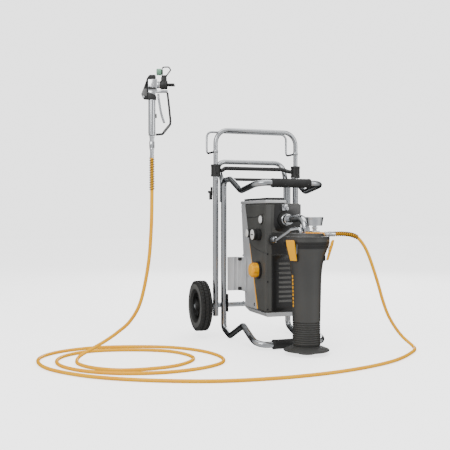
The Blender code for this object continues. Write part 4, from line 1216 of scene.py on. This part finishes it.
def addLatches():
    c = container
    for side, turn in c["latchTurns"].items():
        angle = math.radians(turn)
        hinge = Matrix.Rotation(angle, 4, "Z") @ Matrix.Translation((c["latchRadius"], 0, c["latchZ"]))
        lever = [
            (-0.0045, -0.006), (0.0035, -0.007), (0.0150, 0.030), (0.0215, 0.052), (0.0255, 0.071),
            (0.0200, 0.073), (0.0150, 0.066),
        ]
        plate = prism(lever, -0.018, 0.018, "Y", 0.0016, 3)
        # narrower towards the hinge
        for vertex in plate.data.vertices:
            vertex.co.y *= 0.76 + 0.24 * max(0, min(1, (vertex.co.z + 0.007) / 0.055))
        skinned(plate, f"latch_{side}", "yellowAbs", f"latch_{side}", hinge)
        base = joined(
            box((-0.0155, -0.0118, -0.0095), (-0.0083, 0.0118, 0.0115), 0.0015),
            box((-0.0060, -0.0215, 0.062), (0.0066, 0.0215, 0.0735), 0.0018),
        )
        done(base, f"latch_base_{side}", "blackNylon", place=hinge)
        bail = [
            (0.006, -0.0195, 0.020), (0.004, -0.0195, 0.076), (0.004, 0.0195, 0.076), (0.006, 0.0195, 0.020),
        ]
        bail = tube(rounded(bail, (0.004, 0.004), 5), 0.0011, 8)
        done(bail, f"latch_bail_{side}", "turnedSteel", f"latch_{side}", hinge)


def addGauge():
    x, y = container["outlet"]
    case = [
        (0, 0.5262), (0.0303, 0.5262), (0.0305, 0.5320), (0.0312, 0.5330), (0.0338, 0.5330), (0.0345, 0.5322),
        (0.0345, 0.5275), (0.0336, 0.5262), (0.0328, 0.5200), (0.0290, 0.4995), (0.0282, 0.4988), (0, 0.4988),
    ]
    skinned(lathe(case, (x, y, 0), sides=64), "pressure_gauge", "turnedSteel")
    dial = [(0, 0.5274), (0.0298, 0.5274), (0.0298, 0.5263), (0, 0.5263)]
    done(lathe(dial, (x, y, 0), sides=48), "gauge_dial", "whiteEnamel")
    ticks = []
    for k in range(28):
        long = 0.0055 if k % 3 == 0 else 0.0030
        tick = box((0.0270 - long, -0.0004, 0.5272), (0.0270, 0.0004, 0.52755), 0)
        turn = Matrix.Rotation(math.radians(-10 * k), 4, "Z")
        ticks.append(moved(tick, Matrix.Translation((x, y, 0)) @ turn))
    done(joined(*ticks), "gauge_ticks", "blackNylon")
    pane = [(0, 0.5318), (0.0304, 0.5318), (0.0304, 0.5306), (0, 0.5306)]
    done(lathe(pane, (x, y, 0), sides=48), "gauge_pane", makeGlass())


def addHoseFitting():
    x = container["outlet"][0] + 0.040 + 0.0003
    at = (0, container["outlet"][1], 0.466)
    core = [
        (0, 0.122), (0.0095, 0.122), (0.0100, 0.1210), (0.0100, 0.1080), (0.0092, 0.1070), (0.0092, 0.1045),
        (0.0078, 0.1040), (0.0078, x), (0, x),
    ]
    nuts = [hexagon(0.0180, 0.0930, 0.1040, "X", at), hexagon(0.0165, 0.0765, 0.0850, "X", at)]
    skinned(joined(lathe(core, at, "X", 32), *nuts), "hose_fitting", "turnedSteel")


gun = {"axisZ": 1.008, "tip": 0.043, "pivot": (0.0235, 0.971), "catch": (0.0155, 0.8905)}


def addGunInlet():
    ferrule = [
        (0, 0.781), (0.0085, 0.781), (0.0090, 0.7802), (0.0090, 0.7768), (0.0075, 0.7758), (0.0075, 0.7640),
        (0.0070, 0.7635), (0.0070, 0.7560), (0.0075, 0.7555), (0.0075, 0.7453), (0, 0.7453),
    ]
    sleeve = skinned(lathe(ferrule, sides=32), "hose_ferrule", "turnedSteel", place=gunAt)
    neck = [
        (0, 0.826), (0.0082, 0.826), (0.0092, 0.8250), (0.0092, 0.8180), (0.0084, 0.8172), (0.0084, 0.8060),
        (0.0092, 0.8050), (0.0092, 0.8035), (0, 0.8035),
    ]
    nut = hexagon(0.0168, 0.7816, 0.8035)
    piece = joined(lathe(neck, sides=32), nut)
    return [sleeve, skinned(piece, "swivel_nut", "turnedSteel", "gun", gunAt)]


def addGunBody():
    grip = [
        (0.0118, 0.954), (0.0130, 0.9525), (0.0130, 0.8350), (0.0122, 0.8340), (0.0122, 0.8290),
        (0.0130, 0.8280), (0.0125, 0.8263), (0.009, 0.8263), (0.009, 0.954),
    ]
    skinned(lathe(grip, sides=40), "gun_handle", "turnedSteel", "gun", gunAt)

    z = gun["axisZ"]
    block = box((-0.0140, -0.0125, 0.985), (0.0200, 0.0125, 1.028), 0.003, 3)
    waist = box((-0.0135, -0.0110, 0.9546), (0.0145, 0.0110, 0.990), 0.003, 3)
    nose = [(0.0040, 0.0298), (0.0105, 0.0298), (0.0115, 0.0288), (0.0115, 0.0240), (0.0100, 0.0230)]
    nose = lathe(nose + [(0.0100, 0.015), (0.0040, 0.015)], (0, 0, z), "X", 40)
    nut = hexagon(0.0220, 0.0195, 0.0262, "X", (0, 0, z))
    lug = box((0.010, -0.006, 0.980), (0.0575, 0.006, 0.9885), 0.0018, 3)
    hole = [(0, 0.036), (0.0040, 0.036), (0.0040, -0.02), (0, -0.02)]
    bores = [lathe(hole, (0, 0, z), "X", 24) for _ in range(2)]
    head = joined(cut(block, bores[0]), waist, nose, cut(nut, bores[1]), lug)
    plug = [(0, 0.0150), (0.0050, 0.0150), (0.0060, 0.0140), (0.0060, 0.0120), (0, 0.0120)]
    plugs = [lathe(face, (0.004, 0, z), "Y", 24) for face in (plug, [(r, -h) for r, h in reversed(plug)])]
    skinned(joined(smooth(head), *plugs), "gun_head", "turnedSteel", "gun", gunAt)
    shroud = [(-0.0142, 0.9548), (0.0150, 0.9548), (0.0150, 0.9700), (-0.0142, 0.9830)]
    shroud = prism(shroud, -0.0118, 0.0118, "Y", 0.0012)
    done(shroud, "head_shroud", "blackNylon", "gun", gunAt)
    for side, v in (("left", -1), ("right", 1)):
        low, high = sorted((v * 0.0124, v * 0.0134))
        window = [
            (-0.012, 0.990), (0.018, 0.990), (0.012, 0.998), (0.002, 0.9965), (-0.008, 1.001),
            (-0.012, 0.998),
        ]
        window = prism(window, low, high, "Y", 0.0003, 1)
        done(window, f"head_recess_{side}", "blackNylon", "gun", gunAt)

    hood = [
        (-0.0143, 0.9555), (-0.030, 0.957), (-0.038, 0.973), (-0.029, 0.996), (-0.017, 1.030),
        (-0.010, 1.041), (-0.006, 1.043), (0.0137, 1.043), (0.0137, 1.0284), (-0.0143, 1.0284),
    ]
    skinned(prism(hood, -0.0125, 0.0125, "Y", 0.0025, 3), "gun_rear_cover", "blackNylon", "gun", gunAt)
    cap = [(-0.0165, 0.966), (-0.0350, 0.968), (-0.0365, 0.974), (-0.0290, 0.993), (-0.0165, 0.993)]
    cap = prism(cap, -0.0131, 0.0131, "Y", 0.0012, 2)
    done(cap, "rear_cap", "greyNylon", "gun", gunAt)
    end = [(0, 0.0138), (0.0030, 0.0138), (0.0042, 0.0128), (0.0042, 0.0115), (0, 0.0115)]
    screw = [lathe(face, (-0.030, 0, 0.9635), "Y", 20) for face in (end, [(r, -h) for r, h in reversed(end)])]
    done(joined(*screw), "rear_screw", "turnedSteel", "gun", gunAt)


def addTrigger():
    u, z = gun["pivot"]
    pivotAt = gunAt @ Matrix.Translation((u, 0, z))
    line = [
        (0, 0, 0.0045), (0.0010, 0, -0.010), (0.0035, 0, -0.026), (0.0070, 0, -0.047), (0.0105, 0, -0.066),
    ]
    line = along(line + [(0.0160, 0, -0.085), (0.0210, 0, -0.099)], 3)
    lever = prism(strip([(p.x, p.z) for p in line], 0.0088), -0.0085, 0.0085, "Y", 0.0022, 3)
    groove = prism(strip([(p.x, p.z) for p in line[4:-2]], 0.0034), -0.0100, 0.0100, "Y", 0)
    slotLeft = copied(groove, Matrix.Translation((0, -0.0150, 0)))
    slotRight = moved(groove, Matrix.Translation((0, 0.0150, 0)))
    cut(lever, slotLeft, slotRight)
    skinned(lever, "trigger", "turnedSteel", "trigger", pivotAt)
    pin = [(0, 0.0098), (0.0028, 0.0098), (0.0034, 0.0090)]
    pin += [(r, -h) for r, h in reversed(pin)]
    done(lathe(pin, axis="Y", sides=20), "trigger_pin", "turnedSteel", "trigger", pivotAt)

    bow = [(0.0558, 0, 0.9794), (0.0600, 0, 0.945), (0.0668, 0, 0.878), (0.0655, 0, 0.866)]
    bow = rounded(bow + [(0.0380, 0, 0.8310), (0.0138, 0, 0.8290)], (0.05, 0.02, 0.008, 0.010), 5)
    strap = prism(strip([(p.x, p.z) for p in bow], 0.0072), -0.006, 0.006, "Y", 0.0012, 2)
    skinned(strap, "trigger_guard", "blackNylon", "gun", gunAt)
    pad = prism(strip([(0.0630, 0.8630), (0.0420, 0.8370)], 0.0082), -0.0066, 0.0066, "Y", 0.0010, 2)
    done(pad, "guard_pad", "greyNylon", "gun", gunAt)

    u, z = gun["catch"]
    catchAt = gunAt @ Matrix.Translation((u, 0, z))
    flap = [(-0.0017, -0.0015), (0.0017, -0.0015), (0.0017, 0.0125), (0.0006, 0.0140), (-0.0017, 0.0140)]
    flap = prism(flap, -0.006, 0.006, "Y", 0.0006, 2)
    skinned(flap, "trigger_lock", "blackNylon", "trigger_lock", catchAt)


def addTip():
    z, u = gun["axisZ"], gun["tip"]
    ring = [
        (0.0065, 0.056), (0.0135, 0.056), (0.0165, 0.0525), (0.0165, 0.0480), (0.0158, 0.0472),
        (0.0158, 0.0452), (0.0165, 0.0444), (0.0165, 0.0330), (0.0150, 0.0303), (0.0065, 0.0303),
    ]
    guard = lathe(ring, (0, 0, z), "X", 48)
    tower = box((0.033, -0.0085, 1.012), (0.053, 0.0085, 1.036), 0.0025, 3)
    wing = [
        (0.050, -0.0085), (0.060, -0.018), (0.080, -0.018), (0.082, -0.016), (0.082, -0.009), (0.066, -0.006),
    ]
    wing = prism(wing + [(a, -b) for a, b in reversed(wing)], 1.005, 1.011, "Z", 0.0015, 2)
    hole = [(0, 1.045), (0.0061, 1.045), (0.0061, 0.985), (0, 0.985)]
    bores = [lathe(hole, (u, 0, 0), sides=28) for _ in range(2)]
    head = joined(cut(guard, bores[0]), cut(tower, bores[1]), wing)
    skinned(head, "tip_guard", "blackNylon", "tip_guard", gunAt)
    barrel = [(0, 1.0405), (0.0055, 1.0405), (0.0055, 0.9945), (0.0048, 0.994), (0, 0.994)]
    barrel = lathe(barrel, (u, 0, 0), sides=28)
    base = box((0.0345, -0.0045, 1.0365), (0.054, 0.0045, 1.0430), 0.0015, 3)
    corners = [
        (0.0375, 0, 1.0410), (0.0375, 0, 1.0720), (0.0600, 0, 1.0725), (0.0680, 0, 1.0620),
        (0.0520, 0, 1.0410),
    ]
    loopPath = rounded(corners + [corners[0], corners[1]], (0.006, 0.006, 0.005, 0.003, 0.003), 6)[1:-8]
    loop = tube(loopPath, 0.0024, 14)
    key = box((0.0335, -0.0048, 1.045), (0.0395, 0.0048, 1.064), 0.0015, 2)
    skinned(joined(barrel, base, loop, key), "spray_tip", "blackNylon", "spray_tip", gunAt)
    nub = [
        (0, 0.0165), (0.0100, 0.0166), (0.0118, 0.0180), (0.0120, 0.0220), (0.0112, 0.0228), (0.0112, 0.0250),
        (0.0120, 0.0258), (0.0120, 0.0320), (0.0105, 0.0345), (0, 0.0345),
    ]
    done(lathe(nub, (0, 0, 1.0545), "X", 32), "tip_key", "greenNylon", "spray_tip", gunAt)


addCamera()
jacket, hosePath, guards = addHose()
inletPieces = addGunInlet()
addGunBody()
print("hose and gun inlet done")
addLights()
makeFloor()
addRearTubes()
addHandle()
addAxleAndWheels()
addGuardFrame()
addBraces()
print("trolley done")
addHousings()
addCoverDetail()
addRearDetail()
addControls()
addPipes()
addInternals()
print("power unit done")
addContainer()
addLid()
addLatches()
addGauge()
addHoseFitting()
print("container done")
addTrigger()
addTip()
print("gun done")
